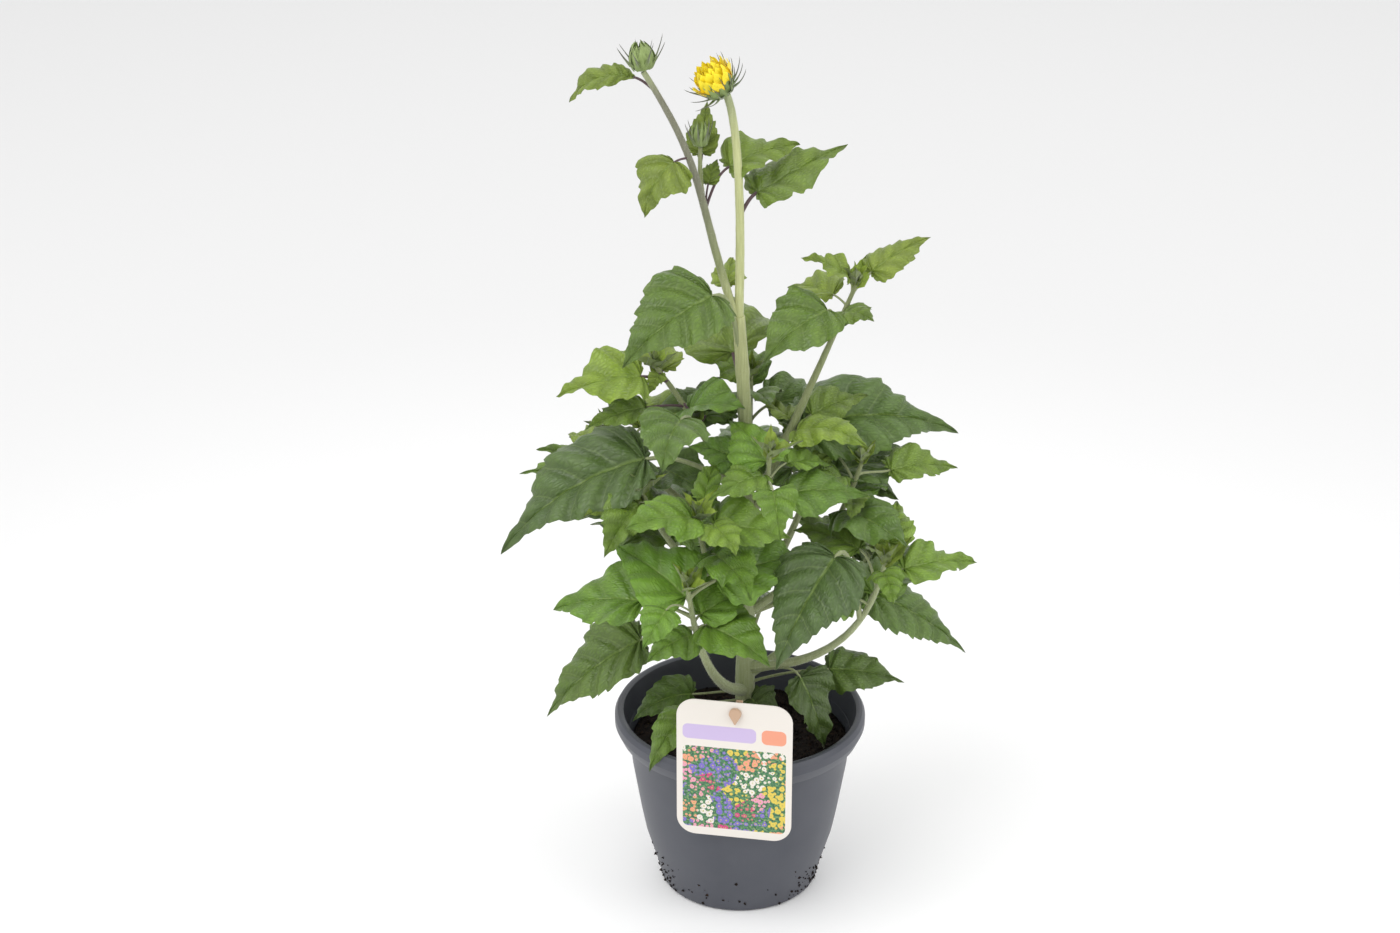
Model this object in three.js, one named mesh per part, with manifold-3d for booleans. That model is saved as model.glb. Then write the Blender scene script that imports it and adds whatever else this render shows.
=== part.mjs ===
// A sunflower plant in a round nursery pot, with a plant label on a peg.
// Millimetres, +Z up. The origin is the middle of the pot's flat underside,
// and the label is on the -Y side.
import * as THREE from 'three';
import { mergeVertices } from 'three/addons/utils/BufferGeometryUtils.js';
import Module from 'manifold-3d';

const wasm = await Module();
wasm.setup();

const V = (x, y, z) => new THREE.Vector3(x, y, z);
const rad = THREE.MathUtils.degToRad;
const UP = V(0, 0, 1);

// Clearance between neighbouring solids
const GAP = 0.3;

// Colour, roughness and metalness of each finish
const FINISHES = {
  pot: ['#43454f', 0.45, 0],
  soil: ['#33261d', 0.95, 0],
  stem: ['#8ea35a', 0.6, 0],
  leaf: ['#5d8540', 0.55, 0],
  old_leaf: ['#4d6b45', 0.6, 0],
  bud: ['#6f8f4a', 0.6, 0],
  bloom: ['#e9c41c', 0.6, 0],
  card: ['#f1ece2', 0.35, 0],
  peg: ['#c9a78a', 0.5, 0],
};

// Pot: a 19 cm, 3 litre nursery pot. Its outlines are [radius, height], the outside from
// the foot up over the rolled collar, the inside from the collar down to the floor
const POT = { height: 145, floor: 3, drains: 6, drainRadius: 6, drainCircle: 40, segments: 36 };
const POT_OUTSIDE = [[0, 0], [58.5, 0], [60, 1.5], [64, 17], [72, 44], [75.5, 62], [82, 102],
  [84, 125], [91, 126.4], [95, 135], [95, 141], [93, 144.6], [91, POT.height]];
const POT_INSIDE = [[88.4, 144], [87.7, 141], [84, 124], [79.8, 102], [73.3, 62],
  [61.8, 17], [58.4, POT.floor], [0, POT.floor]];

// Soil: its level round the trunk, and its slightly uneven top from the wall inwards
const SOIL_TOP = 118;
const SOIL_RELIEF = [[81.8, 115.5], [78, 117], [56, 118.6], [34, 117.4], [16, SOIL_TOP],
  [0, SOIL_TOP]];

// Label: a card against the outside of the collar, turned about +Z from the -Y side, and
// held by the pin and the drop-shaped head of a stake that stands in the soil
const LABEL = { width: 85, height: 113, thick: 0.8, corner: 14, turn: -10.4, x: 12, z: 146, rim: 95.35 };
const STAKE = { x: 12.8, y: -79, width: 5, thick: 2, top: 195 };
const PIN = { z: 192, radius: 2.2, overlap: 1 };
const DROP = { width: 9, height: 13, thick: 3 };

// Stems: points of a Bezier curve, foot and tip radius, sides, and the trunk's root flare.
// The side stalk carries a mass, as the shoots below do
const STEMS = {
  trunk: {
    curve: [[4, -2, SOIL_TOP + GAP], [2, 2, 230], [9, 0, 315], [-3, 0, 462]],
    foot: 6.6, tip: 4.4, sides: 10, flare: { extra: 3.6, height: 7 },
  },
  right_stem: {
    curve: [[-3, 0, 457], [-1.5, 2, 504], [-1, 4, 595], [-12, 0, 624]], foot: 3.2, tip: 2.6, sides: 8,
  },
  left_stem: {
    curve: [[-3, 0, 455], [-34, -2, 550], [-24, 0, 568], [-69, -2, 641]],
    foot: 3, tip: 2, sides: 8,
  },
  side_stalk: {
    curve: [[-16.4, 2, 500], [-24, 6, 530], [-32, 8, 550], [-30, 8, 584]],
    foot: 2, tip: 1.4, sides: 7, mass: 51, leaves: [
      [44, 19, 10, 56, 0.71, 34, 59],
      [14, 80, 62, 38, 0.62, 12, 45],
      [46, 60, 45, 20, 0.8, 20, 80],
    ],
  },
};

// Side shoots: fraction of the trunk where each starts, where it ends, how far out its bend
// lies (0 to 1), foot radius, and how far below the tip its bough ends and its mass of leaves
// begins. A leaf is a row of mm below the tip, turn, pitch, length, width over length, stalk
// length, stalk rise
const SHOOTS = {
  upper_right: {
    from: 0.57, end: [81, 10, 483], bend: 0.45, foot: 4.2, mass: 41, leaves: [
      [34, 220, -20, 70, 0.82, 19, 64],
      [32, 305, 7, 36, 0.85, 15, 64],
      [16, 134, -8, 46, 0.84, 14, 20],
      [10, 25, 20, 54, 0.55, 23, 45],
      [8, 195, 26, 40, 0.64, 14, 79],
    ],
  },
  upper_left: {
    from: 0.57, end: [-63, 20, 416], bend: 0.35, foot: 3.6, mass: 70, leaves: [
      [60, 253, -14, 62, 0.85, 62, 32],
      [55, 59, 0, 52, 0.7, 11, 35],
      [36, 208, -10, 50, 0.6, 32, 10],
      [34, 320, 20, 40, 0.7, 12, -25],
      [32, 320, 15, 55, 0.9, 8, -25],
      [14, 206, -5, 66, 0.89, 22, 20],
      [10, 245, -30, 20, 0.65, 8, 35],
      [9, 96, 14, 43, 0.79, 5, 25],
    ],
  },
  centre: {
    from: 0.45, end: [19, -50, 376], bend: 0.7, foot: 3.2, mass: 53, leaves: [
      [46, 149, 4, 46, 0.8, 41, 66],
      [42, 5, -5, 62, 0.7, 20, 40],
      [23, 226, -4, 54, 0.6, 12, 70],
      [18, 42, -20, 50, 0.5, 20, 25],
      [18, 275, -20, 50, 0.66, 35, 13],
      [7, 120, 15, 54, 0.85, 3, 35],
    ],
  },
  mid_left: {
    from: 0.303, end: [-32, -75, 340], bend: 0.7, foot: 3.4, mass: 58, leaves: [
      [44, 80, 0, 60, 0.75, 13, 25],
      [38, 300, -10, 60, 0.75, 16, 40],
      [20, 295, -5, 46, 0.7, 27, 50],
      [12, 6, -14, 58, 0.84, 11, 20],
      [10, 76, 22, 44, 0.45, 21, 55],
      [8, 220, 10, 64, 0.8, 10, 55],
    ],
  },
  low_front: {
    from: 0.128, end: [-39, -90, 292], bend: 0.75, foot: 4.6, mass: 47, leaves: [
      [40, 221, -8, 46, 0.79, 4, -5],
      [38, 326, -15, 60, 0.85, 11, 39],
      [30, 25, 12, 58, 0.7, 7, 47],
      [25, 160, -16, 75, 0.85, 38, 10],
      [20, 242, -29, 36, 0.83, 42, 26],
      [20, 147, 20, 72, 0.87, 11, 66],
      [8, 25, 0, 82, 0.77, 23, 24],
    ],
  },
  left: {
    from: 0.387, end: [-72, -30, 338], bend: 0.7, foot: 3.2, mass: 50, leaves: [
      [42, 325, 6, 62, 0.8, 22, 45],
      [34, 120, 10, 58, 0.7, 15, 30],
      [18, 240, -25, 54, 0.73, 23, 40],
      [15, 206, 0, 52, 0.7, 7, 60],
    ],
  },
  right_mid: {
    from: 0.335, end: [88, 0, 350], bend: 0.7, foot: 3.4, mass: 60, leaves: [
      [45, 304, -3, 69, 0.8, 16, 45],
      [40, 66, 10, 65, 0.79, 19, 28],
      [30, 225, 5, 42, 0.7, 22, 75],
      [22, 270, -3, 36, 0.7, 10, 0],
      [16, 140, 10, 58, 0.7, 25, 45],
      [10, 16, -5, 54, 0.65, 25, 0],
    ],
  },
  right_low: {
    from: 0.191, end: [103, -50, 292], bend: 0.85, foot: 3.8, mass: 60, leaves: [
      [53, 235, -37, 97, 0.7, 75, 61],
      [46, 60, 5, 62, 0.72, 16, 40],
      [38, 190, -5, 54, 0.7, 14, 30],
      [22, 141, 0, 58, 0.65, 31, 58],
      [20, 280, -10, 40, 0.65, 21, 55],
      [14, 20, -6, 63, 0.56, 18, 16],
      [4, 75, 16, 48, 0.72, 19, 38],
    ],
  },
  back_left: {
    from: 0.511, end: [-98, 48, 352], bend: 0.6, foot: 3.4, mass: 53, leaves: [
      [46, 314, -10, 62, 0.74, 13, 35],
      [28, 198, 6, 55, 0.65, 34, -15],
      [28, 204, 30, 58, 0.65, 29, -15],
      [21, 47, 13, 60, 0.75, 20, 43],
      [11, 130, -10, 46, 0.6, 23, -25],
    ],
  },
  back_low: {
    from: 0.255, end: [-62, 67, 269], bend: 0.62, foot: 3.6, mass: 44, leaves: pairs(150, 5),
  },
  back_right: {
    from: 0.35, end: [62, 78, 330], bend: 0.7, foot: 3.6, mass: 44, leaves: pairs(150, 6),
  },
  back_top: {
    from: 0.6, end: [8, 72, 388], bend: 0.5, foot: 3.2, mass: 44, leaves: pairs(10, 5),
  },
  back_side: {
    from: 0.16, end: [103, 67, 246], bend: 0.67, foot: 3.4, mass: 44, leaves: pairs(50, 5),
  },
};
const SHOOT = { tip: 1.5, sides: 7, massSides: 6, sweep: 0.7, lift: 8 };

// Leaves in crossed pairs up a shoot, at the back: each pair is shorter and steeper than the
// one below it, and a quarter turn on
function pairs(firstTurn, count) {
  return Array.from({ length: count }, (_, i) => {
    const pair = Math.floor(i / 2);
    const below = 36 - 14 * pair;
    const length = 66 - 9 * pair;
    const turn = firstTurn + 90 * pair + 180 * (i % 2);
    const [pitch, wide, stalk, rise] = [15 * pair, 0.72, 0.28 * length, 40 + 5 * pair];
    return [below, turn, pitch, length, wide, stalk, rise];
  });
}

// Large leaves, each a solid of its own: stem, fraction of it, turn, pitch, length, width
// over length, stalk length, stalk rise, droop, roll
const LARGE_LEAVES = {
  bud_leaf: ['left_stem', 0.926, 156, -25, 58, 0.38, 19, 29, 66, -36],
  left_high: ['left_stem', 0.653, 220, -53, 46, 1, 13, -2, 65, -14],
  right_high: ['right_stem', 0.44, 31, 18, 79, 0.56, 20, 48, 4, 21],
  fork_left: ['trunk', 0.905, 220, -22, 90, 0.8, 68, 66, 31, -21],
  fork_small: ['left_stem', 0.1, 84, 19, 32, 0.8, 6, 21, 22, -6],
  fork_back: ['trunk', 0.83, 106, 14, 74, 0.95, 42, 46, 40, -22],
  branch_left: ['upper_right', 0.439, 131, 4, 44, 0.6, 6, 77, 30, 11],
  branch_right: ['upper_right', 0.409, 27, 8, 49, 0.7, 22, 32, 30, 36],
  front_right: ['upper_right', 0.379, 326, 3, 66, 0.55, 14, 46, 50, 17],
  broad_left: ['trunk', 0.645, 190, -32, 131, 0.6, 80, 23, 46, -26],
  broad_right: ['trunk', 0.706, 19, -10, 132, 0.52, 48, 28, 45, 42],
  right_wide: ['trunk', 0.531, 16, -3, 89, 0.6, 79, 34, 30, 14],
  low_left: ['trunk', 0.292, 184, -41, 98, 0.62, 78, -5, 32, -31],
  low_right: ['trunk', 0.329, 16, -38, 108, 0.45, 94, 4, 23, 40],
  rim_right: ['trunk', 0.143, 2, -12, 60, 0.62, 64, 10, 26, 43],
  pot_right: ['trunk', 0.17, 331, -70, 61, 0.75, 47, 12, 25, 18],
  pot_left: ['trunk', 0.12, 193, -22, 52, 0.64, 41, 5, 61, -55],
  rim_left: ['trunk', 0.1, 228, -36, 54, 0.58, 65, 12, 60, -35],
  foot_front: ['trunk', 0.12, 293, -3, 46, 0.78, 12, 2, 25, 28],
  back_broad: ['trunk', 0.579, 87, -16, 103, 0.51, 64, 24, 36, 0],
  back_wide: ['trunk', 0.48, 143, -20, 108, 0.6, 62, 28, 40, 8],
  back_rim: ['trunk', 0.207, 75, -30, 92, 0.62, 60, 18, 35, 0],
};

// Flower heads on the stem tips: turn and rise of the axis, outline of the cup, then rings
// of bracts or petals: count, ring radius, height, spread from the axis, length, width
// over length, droop
const HEADS = {
  head_bud: {
    stem: 'left_stem', finish: 'bud', turn: 190, rise: 74,
    cup: [[0, 0], [2.3, 0], [6, 1.5], [9.4, 5], [10, 8.5], [7.5, 12], [0, 13.5]],
    rings: [[11, 8.4, 5.5, 42, 20, 0.24, 5], [8, 7, 9, 20, 13, 0.3, -40]],
  },
  head_bloom: {
    stem: 'right_stem', finish: 'bloom', turn: 196, rise: 52,
    cup: [[0, 0], [2.5, 0], [6.5, 2], [10.5, 5], [11.5, 10], [9, 13], [0, 14]],
    rings: [[13, 9.4, 5.5, 60, 20, 0.22, 24], [11, 8, 10.5, 24, 16, 0.44, -30]],
  },
  head_side: {
    stem: 'side_stalk', finish: 'bud', turn: 120, rise: 86,
    cup: [[0, 0], [1.5, 0], [4.6, 1.5], [6.8, 5], [6.6, 11], [4, 16], [0, 18]],
    rings: [[9, 5.6, 4, 16, 19, 0.26, -20]],
  },
};
const HEAD_SEGMENTS = 12;

// Length past which a large leaf is an old, darker one
const OLD_LENGTH = 80;

// Leaf form: fold of each half above level, how far blades roll towards the light on the
// -Y side, droop of a small leaf's midrib, teeth as factors of the width, thickness over
// length and at least, and the same over the length of a petal or bract
const LEAF = {
  fold: 16, facing: 26, droop: 30, teeth: [0.93, 1.05], thick: 0.02, thinnest: 1, petalThick: 0.06,
};
// A stalk's radius over the leaf's length, its least and largest, and its swelling at the root
const STALK = { radius: 0.019, thinnest: 0.8, thickest: 1.9, swell: 1.15 };
// A blade has 4 rings, and one more for each of these lengths that it passes
const MORE_RINGS = [38, 60, 90];
const PETAL_RINGS = 3;

// Spacing of the rings of a limb, and the two more in the trunk's flare, above its foot
const RING_EVERY = 26;
const FLARE_RINGS = [3, 7];

// How much larger than the limb itself its cutter is, all round
const CUT = GAP + 0.02;

// A closed geometry as a solid: shared corners merged, faces without area dropped
function solid(geometry) {
  geometry.deleteAttribute('normal');
  geometry.deleteAttribute('uv');
  const merged = mergeVertices(geometry, 1e-3);
  const corners = merged.getIndex().array;
  const faces = [];
  for (let i = 0; i < corners.length; i += 3) {
    const [a, b, c] = corners.slice(i, i + 3);
    if (a !== b && b !== c && c !== a) faces.push(a, b, c);
  }
  return new wasm.Manifold(new wasm.Mesh({
    numProp: 3,
    vertProperties: merged.getAttribute('position').array,
    triVerts: new Uint32Array(faces),
  }));
}

// A solid of revolution about +Z from its outline
function turned(outline, segments) {
  const geometry = new THREE.LatheGeometry(outline.map(([r, z]) => new THREE.Vector2(r, z)), segments);
  return solid(geometry.rotateX(Math.PI / 2));
}

// A cylinder geometry with its rings laid anew: each has a middle, half axes across and up,
// and a lift of the corners that lie out across
function laid(rings, sides) {
  const last = rings.length - 1;
  const geometry = new THREE.CylinderGeometry(1, 1, last, sides, last);
  const corner = geometry.getAttribute('position');
  for (let i = 0; i < corner.count; i++) {
    const { middle, across, up, lift } = rings[Math.round(corner.getY(i) + last / 2)];
    const p = middle.clone().addScaledVector(across, corner.getX(i))
      .addScaledVector(up, corner.getZ(i));
    if (lift) p.addScaledVector(lift, Math.abs(corner.getX(i)));
    corner.setXYZ(i, p.x, p.y, p.z);
  }
  return solid(geometry);
}

// A tapering limb along part of its curve, grown by a clearance where it is to cut others
function limb({ axis, foot, tip, sides, flare }, { from = 0, to = 1, grow = 0 } = {}) {
  const length = axis.getLength();
  const steps = Math.max(3, Math.round((length * (to - from)) / RING_EVERY));
  const stops = Array.from({ length: steps + 1 }, (_, i) => from + ((to - from) * i) / steps);
  if (flare) stops.splice(1, 0, ...FLARE_RINGS.map((above) => above / length));
  const chord = axis.getPoint(1).sub(axis.getPoint(0)).normalize();
  const side = Math.abs(chord.z) > 0.99 ? V(0.6, 0.8, 0) : chord.clone().cross(UP).normalize();
  const rings = stops.map((t, i) => {
    const middle = axis.getPoint(t);
    const along = flare && i === 0 ? UP : axis.getTangent(t);
    const across = side.clone().addScaledVector(along, -side.dot(along)).normalize();
    let radius = foot + (tip - foot) * t + grow;
    if (flare) radius += flare.extra * Math.exp((axis.getPoint(0).z - middle.z) / flare.height);
    return {
      middle, across: across.clone().multiplyScalar(radius),
      up: across.cross(along).multiplyScalar(radius),
    };
  });
  return laid(rings, sides);
}

// Unit vector of a turn about +Z and a rise above level
function direction(turn, rise) {
  return V(1, 0, 0).applyEuler(new THREE.Euler(0, -rad(rise), rad(turn), 'ZYX'));
}

// Half width of a heart-shaped leaf along its midrib, 0 at both ends
const halfWidth = (t) => Math.sin(Math.PI * t ** 0.6) ** 0.9 * (1 - 0.1 * t);

// One ring of a leaf: its middle and heading, half width, half thickness and roll
function leafRing(middle, turn, pitch, width, thickness, roll) {
  const along = direction(turn, pitch);
  const across = direction(turn - 90, 0).applyAxisAngle(along, rad(roll));
  const up = across.clone().cross(along);
  return {
    middle,
    across: across.multiplyScalar(width * Math.cos(rad(LEAF.fold))),
    lift: up.clone().multiplyScalar(width * Math.sin(rad(LEAF.fold))),
    up: up.multiplyScalar(thickness),
  };
}

// Rings of a leaf blade from behind its base to its pointed tip, along an arched midrib
function bladeRings(base, { turn, pitch, length, wide, droop, roll }, thickness, count) {
  const rings = [];
  const middle = base.clone();
  for (let i = 1; i <= count; i++) {
    const t = i / count;
    middle.addScaledVector(direction(turn, pitch + droop * (0.5 - t + 0.5 / count)), length / count);
    const width = i < count ? halfWidth(t) * length * (wide / 2) * LEAF.teeth[i % 2] : 0;
    const half = i < count ? thickness / 2 : 0;
    rings.push(leafRing(middle.clone(), turn, pitch + droop * (0.5 - t), width, half, roll));
  }
  return rings;
}

// A leaf with its stalk, which runs on into the midrib
function leaf(root, shape) {
  const { turn, pitch, length, stalk, rise, droop, roll } = shape;
  const base = root.clone().addScaledVector(direction(turn, rise), stalk);
  const count = 4 + MORE_RINGS.filter((size) => length > size).length;
  const radius = THREE.MathUtils.clamp(STALK.radius * length, STALK.thinnest, STALK.thickest);
  const bend = (rise + pitch + droop / 2) / 2;
  return laid([
    leafRing(root, turn, rise, radius * STALK.swell, radius * STALK.swell, roll),
    leafRing(base, turn, bend, radius, radius, roll),
    ...bladeRings(base, shape, Math.max(LEAF.thinnest, LEAF.thick * length), count),
  ], 4);
}

// A blade alone, such as a bract or a petal
function blade(base, shape) {
  const foot = leafRing(base, shape.turn, shape.pitch, 0, 0, 0);
  const thickness = Math.max(LEAF.thinnest, LEAF.petalThick * shape.length);
  return laid([foot, ...bladeRings(base, shape, thickness, PETAL_RINGS)], 4);
}

// A small leaf of a mass, from its row
function smallLeaf(root, [turn, pitch, length, wide, stalk, rise]) {
  const roll = LEAF.facing * Math.cos(rad(turn));
  return leaf(root, { turn, pitch, length, wide, stalk, rise, droop: LEAF.droop, roll });
}

// A solid cut clear of its neighbours, without the scraps that the cut leaves
function seat(body, neighbours) {
  const cut = neighbours.reduce((rest, other) => rest.subtract(other), body);
  return cut.decompose().sort((a, b) => b.volume() - a.volume())[0];
}

// A named mesh in its own finish
function mesh(name, finish, geometry) {
  const [color, roughness, metalness] = FINISHES[finish];
  const material = new THREE.MeshStandardMaterial({ color, roughness, metalness });
  const made = new THREE.Mesh(geometry, material);
  made.name = name;
  return made;
}

// The mesh of a solid, with the mesh's own origin and axes at a place
function placed(name, finish, body, place = new THREE.Matrix4()) {
  const { vertProperties, triVerts } = body.getMesh();
  const geometry = new THREE.BufferGeometry();
  geometry.setAttribute('position', new THREE.BufferAttribute(new Float32Array(vertProperties), 3));
  geometry.setIndex(new THREE.BufferAttribute(new Uint32Array(triVerts), 1));
  const made = mesh(name, finish, geometry.applyMatrix4(place.clone().invert()));
  made.applyMatrix4(place);
  return made;
}

const at = (point) => new THREE.Matrix4().makeTranslation(point);

// Pot with its drain holes
function makePot() {
  let pot = turned([...POT_OUTSIDE, ...POT_INSIDE], POT.segments);
  for (let i = 0; i < POT.drains; i++) {
    const spot = direction((360 * (i + 0.5)) / POT.drains, 0).multiplyScalar(POT.drainCircle);
    const drain = new THREE.CylinderGeometry(POT.drainRadius, POT.drainRadius, POT.floor * 3, 12);
    pot = pot.subtract(solid(drain.rotateX(Math.PI / 2).translate(spot.x, spot.y, 0)));
  }
  return pot;
}

// Soil that fills the pot up to its relief
function makeSoil() {
  const wall = POT_INSIDE.filter(([r, z]) => r > 0 && z < SOIL_TOP).reverse()
    .map(([r, z]) => [r - GAP - 0.1, Math.max(z, POT.floor + GAP)]);
  return turned([[0, POT.floor + GAP], ...wall, ...SOIL_RELIEF], POT.segments);
}

// How far along its axis a stem's wood goes: to its tip, or to where its mass begins
const woodEnd = ({ axis, mass }) => (mass ? 1 - mass / axis.getLength() : 1);

// Stems and boughs
function makeStems() {
  const group = new THREE.Group();
  const add = (name, stem, neighbours) => {
    const body = seat(limb(stem, { to: woodEnd(stem) }), neighbours);
    group.add(placed(name, 'stem', body, at(stem.axis.getPoint(0))));
  };
  const trunk = [grown.trunk, grown.trunk.translate([0, 0, GAP])];
  add('trunk', STEMS.trunk, []);
  add('right_stem', STEMS.right_stem, trunk);
  add('left_stem', STEMS.left_stem, [...trunk, grown.right_stem]);
  add('side_stalk', STEMS.side_stalk, [grown.left_stem]);
  Object.entries(SHOOTS).forEach(([name, shoot], i, all) => {
    const earlier = all.slice(0, i).map(([other]) => grown[other]);
    add(`bough_${name}`, shoot, [grown.trunk, ...earlier]);
  });
  return group;
}

// A mass: the end of a shoot, with its leaves fused on
function makeMass(name, stem) {
  const length = stem.axis.getLength();
  const from = 1 - (stem.mass - GAP - 0.05) / length;
  const parts = stem.leaves.map(([below, ...row]) => {
    return smallLeaf(stem.axis.getPoint(1 - below / length), row);
  });
  parts.push(limb({ ...stem, sides: SHOOT.massSides }, { from }));
  return placed(name, 'leaf', seat(wasm.Manifold.union(parts), limbs), at(stem.axis.getPoint(from)));
}

// A large leaf on its own stalk
function makeLeaf(name, [stem, part, turn, pitch, length, wide, stalk, rise, droop, roll]) {
  const root = { ...STEMS, ...SHOOTS }[stem].axis.getPoint(part);
  const body = seat(leaf(root, { turn, pitch, length, wide, stalk, rise, droop, roll }), limbs);
  return placed(`leaf_${name}`, length > OLD_LENGTH ? 'old_leaf' : 'leaf', body, at(root));
}

// A flower head, modelled upright and set on its stem's tip at its lean
function makeHead(name, { stem, finish, turn, rise, cup, rings }) {
  const lean = direction(turn, rise);
  const foot = STEMS[stem].axis.getPoint(1).addScaledVector(lean, GAP + 0.1);
  const tilt = new THREE.Quaternion().setFromUnitVectors(UP, lean);
  const place = new THREE.Matrix4().compose(foot, tilt, V(1, 1, 1));
  const parts = [turned(cup, HEAD_SEGMENTS)];
  rings.forEach(([count, radius, height, spread, length, wide, droop], ring) => {
    for (let i = 0; i < count; i++) {
      const way = (360 * (i + ring / 2)) / count;
      const root = direction(way, 0).multiplyScalar(radius).setZ(height);
      parts.push(blade(root, { turn: way, pitch: 90 - spread, length, wide, droop, roll: 0 }));
    }
  });
  const head = wasm.Manifold.union(parts).transform(place.elements);
  return placed(name, finish, seat(head, [grown[stem]]), place);
}

// Label card: a rounded rectangle with a hole for the pin, drawn flat and stood up
function makeCard() {
  const { width, height, corner, thick, x, z, rim } = LABEL;
  const [right, top] = [width / 2 - corner, height / 2 - corner];
  const outline = new THREE.Shape();
  [[right, top], [-right, top], [-right, -top], [right, -top]].forEach(([cx, cy], quarter) => {
    outline.absarc(cx, cy, corner, (quarter * Math.PI) / 2, ((quarter + 1) * Math.PI) / 2);
  });
  const hole = new THREE.Path();
  hole.absarc(STAKE.x - x, PIN.z - z, PIN.radius + GAP, 0, 2 * Math.PI);
  outline.holes.push(hole);
  const options = { depth: thick, bevelEnabled: false, curveSegments: 6 };
  const card = mesh('label', 'card', new THREE.ExtrudeGeometry(outline, options));
  card.rotation.x = Math.PI / 2;
  card.position.set(x, -rim, z);
  return card;
}

// Label stake: a strip in the soil, a pin through the card and a drop-shaped head on it
function makeStake() {
  const front = -(LABEL.rim + LABEL.thick + GAP);
  const strip = new THREE.BoxGeometry(STAKE.width, STAKE.thick, STAKE.top - SOIL_TOP + STAKE.thick)
    .translate(STAKE.x, STAKE.y, (STAKE.top + SOIL_TOP - STAKE.thick) / 2);
  const reach = STAKE.y - front + PIN.overlap;
  const pin = new THREE.CylinderGeometry(PIN.radius, PIN.radius, reach, 16)
    .translate(STAKE.x, STAKE.y - reach / 2, PIN.z);
  const [half, top] = [DROP.width / 2, (DROP.height - DROP.width) / 2];
  const outline = new THREE.Shape();
  outline.moveTo(0, -DROP.height / 2);
  outline.quadraticCurveTo(half, -top, half, top);
  outline.absarc(0, top, half, 0, Math.PI);
  outline.quadraticCurveTo(-half, -top, 0, -DROP.height / 2);
  const options = { depth: DROP.thick, bevelEnabled: false, curveSegments: 8 };
  const drop = new THREE.ExtrudeGeometry(outline, options)
    .rotateX(Math.PI / 2).translate(STAKE.x, front, PIN.z);
  const ground = soil.rotate([0, 0, -LABEL.turn]).translate([0, 0, GAP]);
  const body = seat(wasm.Manifold.union([strip, pin, drop].map(solid)), [ground]);
  return placed('label_stake', 'peg', body, at(V(STAKE.x, STAKE.y, SOIL_TOP)));
}

const pot = makePot();
const soil = makeSoil();

// Axes of the stems and shoots: a shoot leaves the trunk and then bends up to its tip
for (const stem of Object.values(STEMS)) {
  stem.axis = new THREE.CubicBezierCurve3(...stem.curve.map((p) => V(...p)));
}
for (const shoot of Object.values(SHOOTS)) {
  const foot = STEMS.trunk.axis.getPoint(shoot.from);
  const end = V(...shoot.end);
  const middle = foot.clone().lerp(end, shoot.bend);
  middle.z = foot.z + (end.z - foot.z) * (1 - shoot.bend) * SHOOT.sweep + SHOOT.lift;
  shoot.axis = new THREE.QuadraticBezierCurve3(foot, middle, end);
  shoot.tip = SHOOT.tip;
  shoot.sides = SHOOT.sides;
}

// Stems and boughs grown by the clearance, to cut what stands beside them
const grown = {};
for (const [name, stem] of Object.entries({ ...STEMS, ...SHOOTS })) {
  grown[name] = limb(stem, { to: woodEnd(stem), grow: CUT });
}
const limbs = Object.values(grown);

const potGroup = new THREE.Group();
potGroup.add(placed('pot', 'pot', pot), placed('soil', 'soil', soil));

const foliage = new THREE.Group();
foliage.add(makeMass('mass_side', STEMS.side_stalk));
for (const [name, shoot] of Object.entries(SHOOTS)) foliage.add(makeMass(`mass_${name}`, shoot));
for (const [name, row] of Object.entries(LARGE_LEAVES)) foliage.add(makeLeaf(name, row));

const heads = new THREE.Group();
for (const [name, head] of Object.entries(HEADS)) heads.add(makeHead(name, head));

const label = new THREE.Group();
label.rotation.z = rad(LABEL.turn);
label.add(makeCard(), makeStake());

const plant = new THREE.Group();
plant.add(potGroup, makeStems(), foliage, heads, label);

export default plant;
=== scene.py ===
"""A sunflower plant in a nursery pot, with a plant label, dressed over its packed frame."""

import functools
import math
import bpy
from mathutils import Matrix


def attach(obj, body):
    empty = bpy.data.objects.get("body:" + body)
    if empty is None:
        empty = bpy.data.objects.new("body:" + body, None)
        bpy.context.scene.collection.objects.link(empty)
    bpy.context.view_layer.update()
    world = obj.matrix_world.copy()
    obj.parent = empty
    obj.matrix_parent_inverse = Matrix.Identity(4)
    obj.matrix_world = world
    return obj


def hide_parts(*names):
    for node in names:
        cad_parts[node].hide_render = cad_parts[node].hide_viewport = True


bl_info = {
    "name": "Potted sunflower plant",
    "version": (1, 0, 0),
    "blender": (4, 5, 0),
    "location": "View3D > Sidebar > Sunflower",
    "description": "Makes a potted sunflower plant with leaves, flower heads and a plant label",
    "category": "Add Mesh",
}

import bpy
import numpy as np
from bpy.props import FloatProperty, FloatVectorProperty, IntProperty, PointerProperty
from mathutils import Matrix, Vector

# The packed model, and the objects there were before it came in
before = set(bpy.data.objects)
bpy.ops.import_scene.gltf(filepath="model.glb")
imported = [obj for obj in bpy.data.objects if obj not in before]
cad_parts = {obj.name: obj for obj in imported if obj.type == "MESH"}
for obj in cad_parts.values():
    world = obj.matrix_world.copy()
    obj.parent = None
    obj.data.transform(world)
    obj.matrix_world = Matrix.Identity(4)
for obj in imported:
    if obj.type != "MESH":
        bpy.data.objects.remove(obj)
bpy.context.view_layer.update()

# Sizes and tables below are in millimetres, and the scene is in metres
MM = 0.001

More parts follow.
